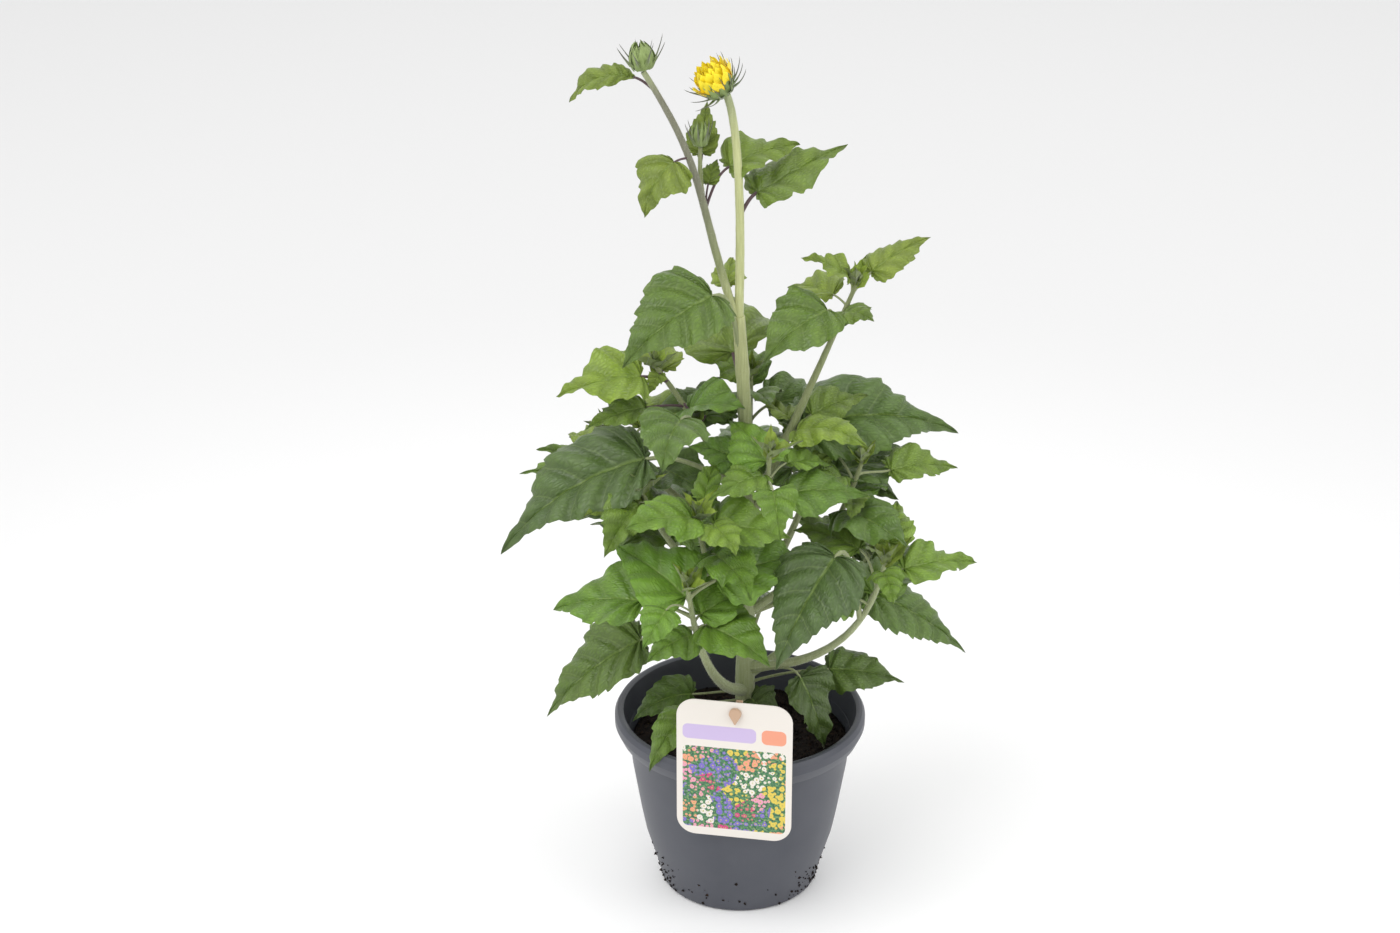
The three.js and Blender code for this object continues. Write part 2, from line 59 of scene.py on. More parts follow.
# Frame: the growth rule and the places of all parts, the same as in the part's source
GAP = 0.3
POT_OUTSIDE = [(0, 0), (58.5, 0), (60, 1.5), (64, 17), (72, 44), (75.5, 62), (82, 102),
               (84, 125), (91, 126.4), (95, 135), (95, 141), (93, 144.6), (91, 145)]
POT_INSIDE = [(88.4, 144), (87.7, 141), (84, 124), (79.8, 102), (73.3, 62),
              (61.8, 17), (58.4, 3), (0, 3)]
DRAINS = {"count": 6, "radius": 6, "circle": 40}
SOIL_TOP = 118
LABEL = {"width": 85, "height": 113, "thick": 0.8, "corner": 14, "turn": -10.4, "x": 12,
         "z": 146, "rim": 95.35}
STAKE = {"x": 12.8, "y": -79, "width": 5, "thick": 2, "top": 195}
PIN = {"z": 192, "radius": 2.2}
DROP = {"width": 9, "height": 13, "thick": 3}


# Crossed pairs up a shoot: the lowest pair's place, length, rise and stalk, and what each next one changes
PAIRS = {"below": 36, "step": 14, "length": 66, "shorter": 9, "steeper": 15, "wide": 0.72,
         "stalk": 0.28, "rise": 40, "lift": 5}


def pairs(first_turn, count):
    """Leaf rows in crossed pairs: each pair is shorter and steeper, and a quarter turn on."""
    rows = []
    for i in range(count):
        pair = i // 2
        length = PAIRS["length"] - PAIRS["shorter"] * pair
        turn = first_turn + 90 * pair + 180 * (i % 2)
        rows.append([PAIRS["below"] - PAIRS["step"] * pair, turn, PAIRS["steeper"] * pair, length,
                     PAIRS["wide"], PAIRS["stalk"] * length, PAIRS["rise"] + PAIRS["lift"] * pair])
    return rows


# Stems: points of a Bezier curve, foot and tip radius.
# Shoots: fraction of the trunk, end, bend, foot radius, leaf rows.
# A leaf row: mm below the tip, turn, pitch, length, width over length, stalk, stalk's rise.
# Large leaves: stem, fraction, then the row from its turn on, droop and roll.
STEMS = {
    "trunk": ([[4, -2, SOIL_TOP + GAP], [2, 2, 230], [9, 0, 315], [-3, 0, 462]], 6.6, 4.4),
    "right_stem": ([[-3, 0, 457], [-1.5, 2, 504], [-1, 4, 595], [-12, 0, 624]], 3.2, 2.6),
    "left_stem": ([[-3, 0, 455], [-34, -2, 550], [-24, 0, 568], [-69, -2, 641]], 3, 2),
    "side_stalk": ([[-16.4, 2, 500], [-24, 6, 530], [-32, 8, 550], [-30, 8, 584]], 2, 1.4),
}
SIDE_STALK_LEAVES = [
    [44, 19, 10, 56, 0.71, 34, 59], [14, 80, 62, 38, 0.62, 12, 45], [46, 60, 45, 20, 0.8, 20, 80],
]
SHOOTS = {
    "upper_right": (0.57, [81, 10, 483], 0.45, 4.2, [
        [34, 220, -20, 70, 0.82, 19, 64], [32, 305, 7, 36, 0.85, 15, 64],
        [16, 134, -8, 46, 0.84, 14, 20], [10, 25, 20, 54, 0.55, 23, 45],
        [8, 195, 26, 40, 0.64, 14, 79],
    ]),
    "upper_left": (0.57, [-63, 20, 416], 0.35, 3.6, [
        [60, 253, -14, 62, 0.85, 62, 32], [55, 59, 0, 52, 0.7, 11, 35],
        [36, 208, -10, 50, 0.6, 32, 10], [34, 320, 20, 40, 0.7, 12, -25],
        [32, 320, 15, 55, 0.9, 8, -25], [14, 206, -5, 66, 0.89, 22, 20],
        [10, 245, -30, 20, 0.65, 8, 35], [9, 96, 14, 43, 0.79, 5, 25],
    ]),
    "centre": (0.45, [19, -50, 376], 0.7, 3.2, [
        [46, 149, 4, 46, 0.8, 41, 66], [42, 5, -5, 62, 0.7, 20, 40],
        [23, 226, -4, 54, 0.6, 12, 70], [18, 42, -20, 50, 0.5, 20, 25],
        [18, 275, -20, 50, 0.66, 35, 13], [7, 120, 15, 54, 0.85, 3, 35],
    ]),
    "mid_left": (0.303, [-32, -75, 340], 0.7, 3.4, [
        [44, 80, 0, 60, 0.75, 13, 25], [38, 300, -10, 60, 0.75, 16, 40],
        [20, 295, -5, 46, 0.7, 27, 50], [12, 6, -14, 58, 0.84, 11, 20],
        [10, 76, 22, 44, 0.45, 21, 55], [8, 220, 10, 64, 0.8, 10, 55],
    ]),
    "low_front": (0.128, [-39, -90, 292], 0.75, 4.6, [
        [40, 221, -8, 46, 0.79, 4, -5], [38, 326, -15, 60, 0.85, 11, 39],
        [30, 25, 12, 58, 0.7, 7, 47], [25, 160, -16, 75, 0.85, 38, 10],
        [20, 242, -29, 36, 0.83, 42, 26], [20, 147, 20, 72, 0.87, 11, 66],
        [8, 25, 0, 82, 0.77, 23, 24],
    ]),
    "left": (0.387, [-72, -30, 338], 0.7, 3.2, [
        [42, 325, 6, 62, 0.8, 22, 45], [34, 120, 10, 58, 0.7, 15, 30],
        [18, 240, -25, 54, 0.73, 23, 40], [15, 206, 0, 52, 0.7, 7, 60],
    ]),
    "right_mid": (0.335, [88, 0, 350], 0.7, 3.4, [
        [45, 304, -3, 69, 0.8, 16, 45], [40, 66, 10, 65, 0.79, 19, 28],
        [30, 225, 5, 42, 0.7, 22, 75], [22, 270, -3, 36, 0.7, 10, 0],
        [16, 140, 10, 58, 0.7, 25, 45], [10, 16, -5, 54, 0.65, 25, 0],
    ]),
    "right_low": (0.191, [103, -50, 292], 0.85, 3.8, [
        [53, 235, -37, 97, 0.7, 75, 61], [46, 60, 5, 62, 0.72, 16, 40],
        [38, 190, -5, 54, 0.7, 14, 30], [22, 141, 0, 58, 0.65, 31, 58],
        [20, 280, -10, 40, 0.65, 21, 55], [14, 20, -6, 63, 0.56, 18, 16],
        [4, 75, 16, 48, 0.72, 19, 38],
    ]),
    "back_left": (0.511, [-98, 48, 352], 0.6, 3.4, [
        [46, 314, -10, 62, 0.74, 13, 35], [28, 198, 6, 55, 0.65, 34, -15],
        [28, 204, 30, 58, 0.65, 29, -15], [21, 47, 13, 60, 0.75, 20, 43],
        [11, 130, -10, 46, 0.6, 23, -25],
    ]),
    "back_low": (0.255, [-62, 67, 269], 0.62, 3.6, pairs(150, 5)),
    "back_right": (0.35, [62, 78, 330], 0.7, 3.6, pairs(150, 6)),
    "back_top": (0.6, [8, 72, 388], 0.5, 3.2, pairs(10, 5)),
    "back_side": (0.16, [103, 67, 246], 0.67, 3.4, pairs(50, 5)),
}
LARGE_LEAVES = {
    "bud_leaf": ("left_stem", 0.926, 156, -25, 58, 0.38, 19, 29, 66, -36),
    "left_high": ("left_stem", 0.653, 220, -53, 46, 1, 13, -2, 65, -14),
    "right_high": ("right_stem", 0.44, 31, 18, 79, 0.56, 20, 48, 4, 21),
    "fork_left": ("trunk", 0.905, 220, -22, 90, 0.8, 68, 66, 31, -21),
    "fork_small": ("left_stem", 0.1, 84, 19, 32, 0.8, 6, 21, 22, -6),
    "fork_back": ("trunk", 0.83, 106, 14, 74, 0.95, 42, 46, 40, -22),
    "branch_left": ("upper_right", 0.439, 131, 4, 44, 0.6, 6, 77, 30, 11),
    "branch_right": ("upper_right", 0.409, 27, 8, 49, 0.7, 22, 32, 30, 36),
    "front_right": ("upper_right", 0.379, 326, 3, 66, 0.55, 14, 46, 50, 17),
    "broad_left": ("trunk", 0.645, 190, -32, 131, 0.6, 80, 23, 46, -26),
    "broad_right": ("trunk", 0.706, 19, -10, 132, 0.52, 48, 28, 45, 42),
    "right_wide": ("trunk", 0.531, 16, -3, 89, 0.6, 79, 34, 30, 14),
    "low_left": ("trunk", 0.292, 184, -41, 98, 0.62, 78, -5, 32, -31),
    "low_right": ("trunk", 0.329, 16, -38, 108, 0.45, 94, 4, 23, 40),
    "rim_right": ("trunk", 0.143, 2, -12, 60, 0.62, 64, 10, 26, 43),
    "pot_right": ("trunk", 0.17, 331, -70, 61, 0.75, 47, 12, 25, 18),
    "pot_left": ("trunk", 0.12, 193, -22, 52, 0.64, 41, 5, 61, -55),
    "rim_left": ("trunk", 0.1, 228, -36, 54, 0.58, 65, 12, 60, -35),
    "foot_front": ("trunk", 0.12, 293, -3, 46, 0.78, 12, 2, 25, 28),
    "back_broad": ("trunk", 0.579, 87, -16, 103, 0.51, 64, 24, 36, 0),
    "back_wide": ("trunk", 0.48, 143, -20, 108, 0.6, 62, 28, 40, 8),
    "back_rim": ("trunk", 0.207, 75, -30, 92, 0.62, 60, 18, 35, 0),
}
SHOOT = {"tip": 1.5, "sweep": 0.7, "lift": 8}
# Degrees that a shoot's leaves droop, turn their face to the light and fold along the midrib
DROOP, FACING, FOLD = 30, 26, 16

# Flower heads: stem, turn and rise of the axis, outline of the cup, rings of blades:
# kind, count, ring radius, height, spread, length, width over length, droop
HEADS = {
    "head_bud": ("left_stem", 150, 80,
                 [(0, 0), (2.2, 0), (5, 1.2), (7.6, 4), (8.4, 8), (7.6, 12), (5, 15), (0, 16.5)],
                 [("scale", 9, 6.2, 1, -8, 20, 0.48, -84), ("scale", 8, 6.6, 3.5, -14, 18, 0.44, -72),
                  ("scale", 6, 5.4, 8, -16, 12, 0.44, -60), ("needle", 9, 8, 4, 34, 19, 0.18, -8)]),
    "head_bloom": ("right_stem", 196, 52,
                   [(0, 0), (2.5, 0), (6.5, 2), (9.4, 5), (10.4, 9), (9, 13), (5, 16), (0, 17)],
                   [("scale", 13, 7.4, 2, 26, 15, 0.44, -40), ("scale", 13, 8.8, 5, 14, 13, 0.42, -30),
                    ("needle", 12, 8.2, 3, 62, 19, 0.18, -34), ("needle", 13, 9, 5, 34, 19, 0.18, -26),
                    ("petal", 17, 9.2, 7, 16, 15, 0.6, -36), ("petal", 14, 7.4, 9, 9, 16, 0.6, -34),
                    ("petal", 11, 5, 11, 3, 16, 0.6, -28), ("petal", 7, 2.5, 12, -4, 16, 0.6, -14)]),
    "head_side": ("side_stalk", 120, 86,
                  [(0, 0), (1.5, 0), (3.8, 1.2), (5.4, 4), (5.2, 8), (3.4, 11), (0, 12.5)],
                  [("scale", 9, 4.4, 1, 2, 15, 0.34, -30), ("scale", 8, 4.8, 3, 0, 14, 0.3, -24),
                   ("scale", 6, 3.4, 6, 0, 12, 0.3, -12), ("needle", 9, 4.8, 2, 16, 18, 0.18, -10)]),
}

# Outlines of half a blade: along the midrib from its base to its tip, and out from it
OUTLINES = {
    "leaf": [(0, 0), (-.02, .08), (-.025, .2), (.02, .34), (.11, .445), (.22, .485), (.34, .46),
             (.47, .375), (.6, .27), (.73, .17), (.85, .085), (.93, .032), (1, 0)],
    "heart": [(0, 0), (-.06, .08), (-.09, .2), (-.06, .34), (.04, .45), (.18, .5), (.35, .465),
              (.52, .36), (.68, .23), (.82, .11), (.93, .035), (1, 0)],
    "long": [(0, 0), (-.02, .08), (-.02, .2), (.04, .35), (.15, .47), (.28, .5), (.42, .44),
             (.55, .33), (.68, .2), (.79, .1), (.88, .05), (.95, .022), (1, 0)],
    "narrow": [(0, 0), (.01, .07), (.06, .15), (.17, .28), (.32, .42), (.47, .49), (.61, .45),
               (.75, .32), (.87, .16), (.95, .05), (1, 0)],
    "needle": [(0, 0), (.01, .3), (.1, .5), (.24, .42), (.38, .24), (.55, .14), (.75, .07), (1, 0)],
    "scale": [(0, 0), (.02, .25), (.15, .45), (.35, .5), (.55, .38), (.75, .19), (.9, .07), (1, 0)],
    "petal": [(0, 0), (.05, .22), (.25, .42), (.5, .5), (.7, .4), (.86, .2), (1, 0)],
}

# Grids of a blade: teeth on each side, rows to a tooth, side veins, places across one half
GRIDS = {
    "leaf": (10, 5, 6, (0, .06, .2, .4, .6, .8, 1)),
    "large": (15, 5, 8, (0, .04, .14, .28, .44, .62, .8, .92, 1)),
    "young": (6, 2, 3, (0, .15, .5, 1)),
    "blade": (4, 3, 2, (0, .3, 1)),
}


def colour(code):
    """Linear red, green and blue of an sRGB hex colour."""
    parts = [int(code[i:i + 2], 16) / 255 for i in (1, 3, 5)]
    return [c / 12.92 if c <= 0.04045 else ((c + 0.055) / 1.055) ** 2.4 for c in parts]


def paint(name, code, about):
    """A colour that a user can change."""
    return FloatVectorProperty(name=name, description=about, subtype="COLOR", size=3,
                               min=0, max=1, default=colour(code))


def size(name, mm, about):
    """A length that a user can change."""
    return FloatProperty(name=name, description=about, default=mm * MM, min=0,
                         subtype="DISTANCE", unit="LENGTH")


class PotSettings(bpy.types.PropertyGroup):
    """Pot and soil"""
    body: paint("Pot", "#3f424c", "Colour of the moulded polypropylene")
    wall: size("Collar bevel", 0.6, "Rounding of the pot's moulded edges")
    peat: paint("Peat", "#1d1613", "Colour of the damp peat")
    bits: paint("Fibres", "#5a3f2c", "Colour of the wood fibres in the peat")
    relief: size("Soil relief", 2.2, "Height of the lumps on the soil")
    crumbs: IntProperty(name="Crumbs", description="Loose crumbs on the soil", default=1500, min=0)


class StemSettings(bpy.types.PropertyGroup):
    """Trunk, boughs and stalks"""
    light: paint("Upper stem", "#c2c78a", "Pale yellow-green of the tallest stem")
    olive: paint("Trunk", "#8b9462", "Olive of the trunk and the upper boughs")
    grey: paint("Lower boughs", "#a0aa7a", "Hairy grey-green of the lower boughs")
    flushed: paint("Flushed stem", "#7d7d68", "Grey-brown flush of the stem under the bud")
    purple: paint("Dark stalks", "#5a4348", "Purple leaf stalks near the top")
    rib: size("Ribs", 0.22, "Height of the lengthwise ribs")
    down: paint("Hair", "#dfe3cf", "White of the hairs on the stems")
    hair: size("Hairs", 1.3, "Length of the white hairs")
    hairs: FloatProperty(name="Hairs to a millimetre", description="How close the hairs stand",
                         default=9, min=0)


class LeafSettings(bpy.types.PropertyGroup):
    """Leaves"""
    old: paint("Old leaf", "#4b6232", "Grey-green of the largest leaves")
    middle: paint("Leaf", "#5d7832", "Green of most leaves")
    light: paint("Light leaf", "#829839", "Yellow-green of thin and upper leaves")
    fresh: paint("Fresh leaf", "#6b9632", "Clear green of the lower shoots' leaves")
    young: paint("Young leaf", "#a3c148", "Yellow-green of the leaves at the tips")
    under: paint("Underside", "#808c64", "Pale grey-green of the hairy underside")
    vein: paint("Veins", "#93ab5e", "Pale yellow-green of the main veins")
    tooth: FloatProperty(name="Teeth", description="Depth of the teeth over the length",
                         default=0.036, min=0, max=0.1, subtype="FACTOR")
    quilt: FloatProperty(name="Quilting", description="Rise between the veins over the length",
                         default=0.03, min=0, max=0.05, subtype="FACTOR")


class HeadSettings(bpy.types.PropertyGroup):
    """Flower heads"""
    bract: paint("Bracts", "#768a47", "Green of the bracts and the buds")
    bract_light: paint("Bract ends", "#8aa056", "Lighter green of the short bracts' ends")
    bract_tip: paint("Bract tips", "#63655a", "Grey-purple of the drawn-out bract tips")
    petal: paint("Petals", "#ffec1e", "Clear yellow of the ray florets")
    petal_foot: paint("Petal feet", "#ffd200", "Orange at the foot of the ray florets")
    disc: paint("Disc", "#c99a1a", "Gold of the young disc florets")


class LabelSettings(bpy.types.PropertyGroup):
    """Plant label"""
    card: paint("Card", "#e6e0d8", "Cream of the coated card")
    lilac: paint("Lilac", "#c9b8dd", "Lilac of the print")
    pink: paint("Pink", "#e79ab8", "Pink of the print")
    salmon: paint("Salmon", "#eb9d80", "Salmon of the print")
    rose: paint("Rose", "#cc3a7e", "Deep rose of the print")
    violet: paint("Violet", "#7a6cc0", "Violet of the print")
    yellow: paint("Yellow", "#dfc653", "Yellow of the print")
    meadow: paint("Green", "#4f8a60", "Green ground of the print")
    peg: paint("Peg", "#c9a78a", "Beige of the moulded peg")


class StageSettings(bpy.types.PropertyGroup):
    """Floor and light"""
    floor: paint("Floor", "#ffffff", "Colour of the floor")
    sky: FloatProperty(name="Sky", description="Brightness of the surroundings", default=0.9, min=0)
    key: FloatProperty(name="Main light", description="Power of the light above on the left",
                       default=40, min=0, unit="POWER")
    fill: FloatProperty(name="Fill light", description="Power of the light on the right",
                        default=16, min=0, unit="POWER")


def settings(group):
    """The settings of one group, as the scene holds them."""
    return getattr(bpy.context.scene, "sunflower_" + group)


# Growth rule

# Chords that the length of a curve is summed over
CHORDS = 200


def direction(turn, rise):
    """Unit vectors of a turn about +Z and a rise above level, in degrees."""
    turn, rise = np.radians(turn), np.radians(rise)
    parts = (np.cos(rise) * np.cos(turn), np.cos(rise) * np.sin(turn), np.sin(rise))
    return np.stack(np.broadcast_arrays(*parts), -1)


def on_curve(points, t):
    """Point of a Bezier curve."""
    left = [np.array(p, float) for p in points]
    while len(left) > 1:
        left = [a * (1 - t) + b * t for a, b in zip(left, left[1:])]
    return left[0]


def curve_length(points):
    """Length of a Bezier curve, by short chords."""
    line = [on_curve(points, i / CHORDS) for i in range(CHORDS + 1)]
    return sum(np.linalg.norm(b - a) for a, b in zip(line, line[1:]))


def shoot_curve(start, end, bend):
    """A shoot's curve from the trunk up to its end."""
    foot, end = on_curve(STEMS["trunk"][0], start), np.array(end, float)
    middle = foot + (end - foot) * bend
    middle[2] = foot[2] + (end[2] - foot[2]) * (1 - bend) * SHOOT["sweep"] + SHOOT["lift"]
    return [foot, middle, end]


def limbs():
    """Every limb as its curve, foot radius and tip radius."""
    all_limbs = dict(STEMS)
    for name, (start, end, bend, foot, _) in SHOOTS.items():
        all_limbs[name] = (shoot_curve(start, end, bend), foot, SHOOT["tip"])
    return all_limbs


LIMBS = limbs()


def smooth_line(points, count):
    """Evenly spaced points on a smooth line through the given ones."""
    p = np.array(points, float)
    p = np.vstack([2 * p[0] - p[1], p, 2 * p[-1] - p[-2]])
    fine = [p[1]]
    for a, b, c, d in zip(p, p[1:], p[2:], p[3:]):
        for t in np.linspace(0, 1, 21)[1:]:
            fine.append(0.5 * (2 * b + (c - a) * t + (2 * a - 5 * b + 4 * c - d) * t ** 2
                               + (3 * b - 3 * c + d - a) * t ** 3))
    fine = np.array(fine)
    along = np.append(0, np.cumsum(np.linalg.norm(np.diff(fine, axis=0), axis=1)))
    at = np.linspace(0, along[-1], count)
    return np.stack([np.interp(at, along, fine[:, k]) for k in range(fine.shape[1])], 1)


class Gathered:
    """Corners and faces of many small shapes that become one mesh"""

    def __init__(self):
        self.points, self.faces, self.kinds, self.tints, self.marks = [], [], [], [], []
        self.count = 0
        self.turned, self.origin = np.eye(3), np.zeros(3)

    def add(self, points, faces, tint, kinds=0, marks=(0, 0, 0)):
        """Adds one shape in millimetres: its colours, the materials of its faces, its marks."""
        points = np.asarray(points, float) @ self.turned.T + self.origin
        tint = np.concatenate([np.broadcast_to(tint, points.shape), np.ones((len(points), 1))], 1)
        self.points.append(points * MM)
        self.faces += [[k + self.count for k in face] for face in faces]
        self.kinds.append(np.broadcast_to(kinds, len(faces)))
        self.tints.append(tint)
        self.marks.append(np.broadcast_to(marks, points.shape))
        self.count += len(points)

    def build(self, name, materials, sharp=60):
        """The joined mesh, smooth up to a sharp angle, as a piece of the object."""
        mesh = bpy.data.meshes.new(name)
        mesh.from_pydata(np.concatenate(self.points).tolist(), [], self.faces)
        for material in materials:
            mesh.materials.append(material)
        mesh.polygons.foreach_set("material_index", np.concatenate(self.kinds).astype(np.int32))
        tint = mesh.attributes.new("tint", "FLOAT_COLOR", "POINT")
        tint.data.foreach_set("color", np.concatenate(self.tints).astype(np.float32).ravel())
        mark = mesh.attributes.new("mark", "FLOAT_VECTOR", "POINT")
        mark.data.foreach_set("vector", np.concatenate(self.marks).astype(np.float32).ravel())
        piece = bpy.data.objects.new(name, mesh)
        bpy.context.scene.collection.objects.link(piece)
        smooth(piece, sharp)
        return piece


def alone(piece):
    """Makes one object the only selected and the active one."""
    if bpy.context.object and bpy.context.object.mode != "OBJECT":
        bpy.ops.object.mode_set(mode="OBJECT")
    bpy.ops.object.select_all(action="DESELECT")
    piece.select_set(True)
    bpy.context.view_layer.objects.active = piece
    return piece


def smooth(piece, sharp):
    """Smooth shading up to a sharp angle in degrees."""
    alone(piece)
    bpy.ops.object.shade_smooth_by_angle(angle=math.radians(sharp))


def finish_piece(piece, slot, *nodes):
    """Puts a piece on the object's body and hides what it stands for; its slot is not used."""
    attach(piece, "root")
    if nodes:
        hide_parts(*nodes)


# Blades: leaves, bracts and petals


def grid_faces(kind):
    """Faces of a closed blade: where each corner comes from, the faces and their side."""
    teeth, to_tooth, _, half = GRIDS[kind]
    rows, columns = teeth * to_tooth + 1, 2 * len(half) - 1
    ends = (0, rows - 1)
    picks, grids = [], []
    for face in (0, 1):
        grid = np.zeros((rows, columns), int)
        for i in range(rows):
            for j in range(columns):
                if i in ends and j:
                    grid[i, j] = grid[i, 0]
                elif face and (i in ends or j in (0, columns - 1)):
                    grid[i, j] = grids[0][i, j]
                else:
                    grid[i, j] = len(picks)
                    picks.append((face, i, j))
        grids.append(grid)
    faces, sides = [], []
    for face, grid in enumerate(grids):
        for i in range(rows - 1):
            for j in range(columns - 1):
                quad = [grid[i, j], grid[i, j + 1], grid[i + 1, j + 1], grid[i + 1, j]]
                # Both sides are cut along the same diagonal, so that neither comes through the other
                for part in ((0, 1, 2), (0, 2, 3)):
                    corners = [int(quad[k]) for k in part]
                    if len(set(corners)) == 3:
                        faces.append(corners[::-1] if face else corners)
                        sides.append(face)
    return np.array(picks), faces, np.array(sides)


FACES = {kind: grid_faces(kind) for kind in GRIDS}


# Veins leave the midrib behind their tooth, by this share of the way out, in a soft bend
SLANT, SOFT_BEND = 0.75, 18
# How far out a tooth stands at each of its five rows, and how far forwards it leans
TOOTH_ROWS, TOOTH_LEAN = (0, 0.45, 0.8, 1, 0.45), 0.7
# Steps of the midrib's arc; it starts behind the base, for the lobes
ARC_STEPS, ARC_FOOT = 60, 10
# Height of the veins on the underside, over the length: side veins, and the midrib's foot beyond them
VEIN_RIDGE, RIB_RIDGE = 0.004, 0.012


def flat_blade(grid, outline, wide, tooth, rng):
    """A flat toothed blade of length 1: along the midrib and across, for each row and column."""
    teeth, to_tooth, _, half = grid
    rows = teeth * to_tooth + 1
    q = np.linspace(0, 1, rows)
    edge = smooth_line(OUTLINES[outline], rows)
    edge[:, 1] *= wide
    rib = np.log1p(np.exp(SOFT_BEND * (edge[:, 0] - SLANT * edge[:, 1]))) / SOFT_BEND
    rib[0], rib[-1] = 0, 1
    # Teeth point forwards, each one its own size, and fade out at both ends
    heading = np.gradient(edge, axis=0)
    heading /= np.linalg.norm(heading, axis=1)[:, None] + 1e-9
    outwards = np.stack([-heading[:, 1], heading[:, 0]], 1)
    number = np.arange(rows) // to_tooth
    stand = TOOTH_ROWS if to_tooth == len(TOOTH_ROWS) else np.linspace(0, 1, to_tooth)
    phase = np.array(stand)[np.arange(rows) % to_tooth]
    sides = []
    for _ in (0, 1):
        own = tooth * rng.uniform(0.35, 1.2, teeth + 1)[number] ** 1.5
        own = own * np.clip(12 * q, 0, 1) * np.clip(3 - 3 * q, 0, 1)
        step = (own * phase)[:, None]
        margin = edge + outwards * step + heading * step * TOOTH_LEAN
        margin[0], margin[-1] = (0, 0), (1, 0)
        sides.append(margin)
    across = np.array([-v for v in half[:0:-1]] + list(half))
    out = np.abs(across)
    margin = np.array(sides)[(across > 0).astype(int)]
    reach = margin[:, :, 0].T - rib[:, None]
    x = rib[:, None] + reach * out - 0.06 * reach * np.sin(np.pi * out)
    y = np.sign(across) * margin[:, :, 1].T * out
    return q, across, x, y


def blade(into, base, shape, tint, rng, kind="leaf", outline="leaf", tooth=0.0, quilt=0.0,
          fold=FOLD, wave=0.02, twist=0.0, thick=0.4, notch=0.0, curl=0.0,
          swing=0.0, bow=0.0):
    """Adds a blade: an arched, folded, veined and toothed sheet with two faces."""
    turn, pitch, length, wide, droop, roll = shape
    veins, half = GRIDS[kind][2:]
    q, across, x, y = flat_blade(GRIDS[kind], outline, wide, tooth, rng)
    out = np.abs(across)
    side = (across > 0).astype(int)
    # Midrib: an arc that droops, and swings to one side, from its base to its tip
    steps = np.linspace(-0.2, 1, ARC_STEPS + 1)
    ways = direction(turn + swing * steps * abs(steps), pitch + droop * (0.5 - steps))
    arc = np.cumsum((ways[1:] + ways[:-1]) / 2, axis=0) * (steps[1] - steps[0])
    arc = np.vstack([np.zeros(3), arc])
    arc -= arc[ARC_FOOT]
    middle = base + length * np.stack([np.interp(x, steps, arc[:, k]) for k in range(3)], -1)
    facing = turn + swing * x * np.abs(x)
    along = direction(facing, pitch + droop * (0.5 - x))
    beside = direction(facing - 90, 0)
    # The last third of a blade curls over
    lean = np.radians(roll + twist * (x - 0.3) + curl * np.clip(x - 0.7, 0, 1) ** 2 * 11)[..., None]
    flat = beside * np.cos(lean) + np.cross(along, beside) * np.sin(lean)
    up = np.cross(flat, along)
    # Relief: a fold, quilting between the veins, long and short waves along the margin
    fold = math.radians(fold)
    vein = q * veins
    fade = (np.sin(np.pi * q) ** 0.5)[:, None]
    swell = quilt * np.abs(np.sin(np.pi * vein))[:, None] ** 0.8 * np.sqrt(4 * out * (1 - out)) * fade
    phases = rng.uniform(0, 2 * np.pi, 2)[side]
    waves = rng.uniform(1.6, 2.8, 2)[side]
    for share, power, pace in ((1, 2, 1), (0.4, 4, 3.1)):
        run = np.sin(2 * np.pi * q[:, None] * waves * pace + phases)
        swell = swell + share * wave * fade * out ** power * run
    lift = np.abs(y) * (math.sin(fold) * (1.5 - 0.5 * out) - bow * out ** 2) + swell
    if notch:
        lift = lift + notch * np.cos(across * 3 * np.pi) * fade
    upper = middle + length * (flat * (y * math.cos(fold))[..., None] + up * lift[..., None])
    # Underside: veins stand out of it, and the sheet thins to its margin
    on_vein = np.zeros(x.shape)
    on_vein[::max(1, (len(q) - 1) // veins)] = 0.7 - 0.4 * out
    on_vein[:, len(half) - 1] = 1
    on_vein[:, [0, -1]] = 0
    ridge = on_vein * (VEIN_RIDGE + RIB_RIDGE * (out == 0) * (1 - q)[:, None]) * length
    lower = upper - up * (thick * (1 - out ** 8) + ridge)[..., None]
    picks, faces, kinds = FACES[kind]
    spot = tuple(picks.T)
    # Marks for the material: the number along the veins, the way out to the margin, the leaf's own
    mark = np.stack(np.broadcast_arrays(vein[:, None], across, rng.uniform(1, 99)), -1)
    own = tint if np.ndim(tint) == 1 else tint[spot[1:]]
    into.add(np.stack([upper, lower])[spot], faces, own, kinds, mark[spot[1:]])
    return upper[:, len(half) - 1]


def tube(into, line, radii, tint, kind=0, sides=8):
    """Adds a closed tube along a line."""
    line = np.asarray(line, float)
    heading = np.gradient(line, axis=0)
    heading /= np.linalg.norm(heading, axis=1)[:, None]
    side = np.cross(heading[0], (0.3, 0.5, 0.81))
    rings = []
    for p, along, radius in zip(line, heading, radii):
        side = side - along * (side @ along)
        side /= np.linalg.norm(side)
        other = np.cross(along, side)
        turns = np.linspace(0, 2 * np.pi, sides, endpoint=False)[:, None]
        rings.append(p + radius * (np.cos(turns) * side + np.sin(turns) * other))
    faces = [[i * sides + j, i * sides + (j + 1) % sides, (i + 1) * sides + (j + 1) % sides,
              (i + 1) * sides + j] for i in range(len(rings) - 1) for j in range(sides)]
    faces.append(list(range(sides))[::-1])
    faces.append([(len(rings) - 1) * sides + j for j in range(sides)])
    into.add(np.concatenate(rings), faces, tint, kind)


def mix(a, b, part):
    """A colour between two."""
    return np.array(a) * (1 - part) + np.array(b) * part


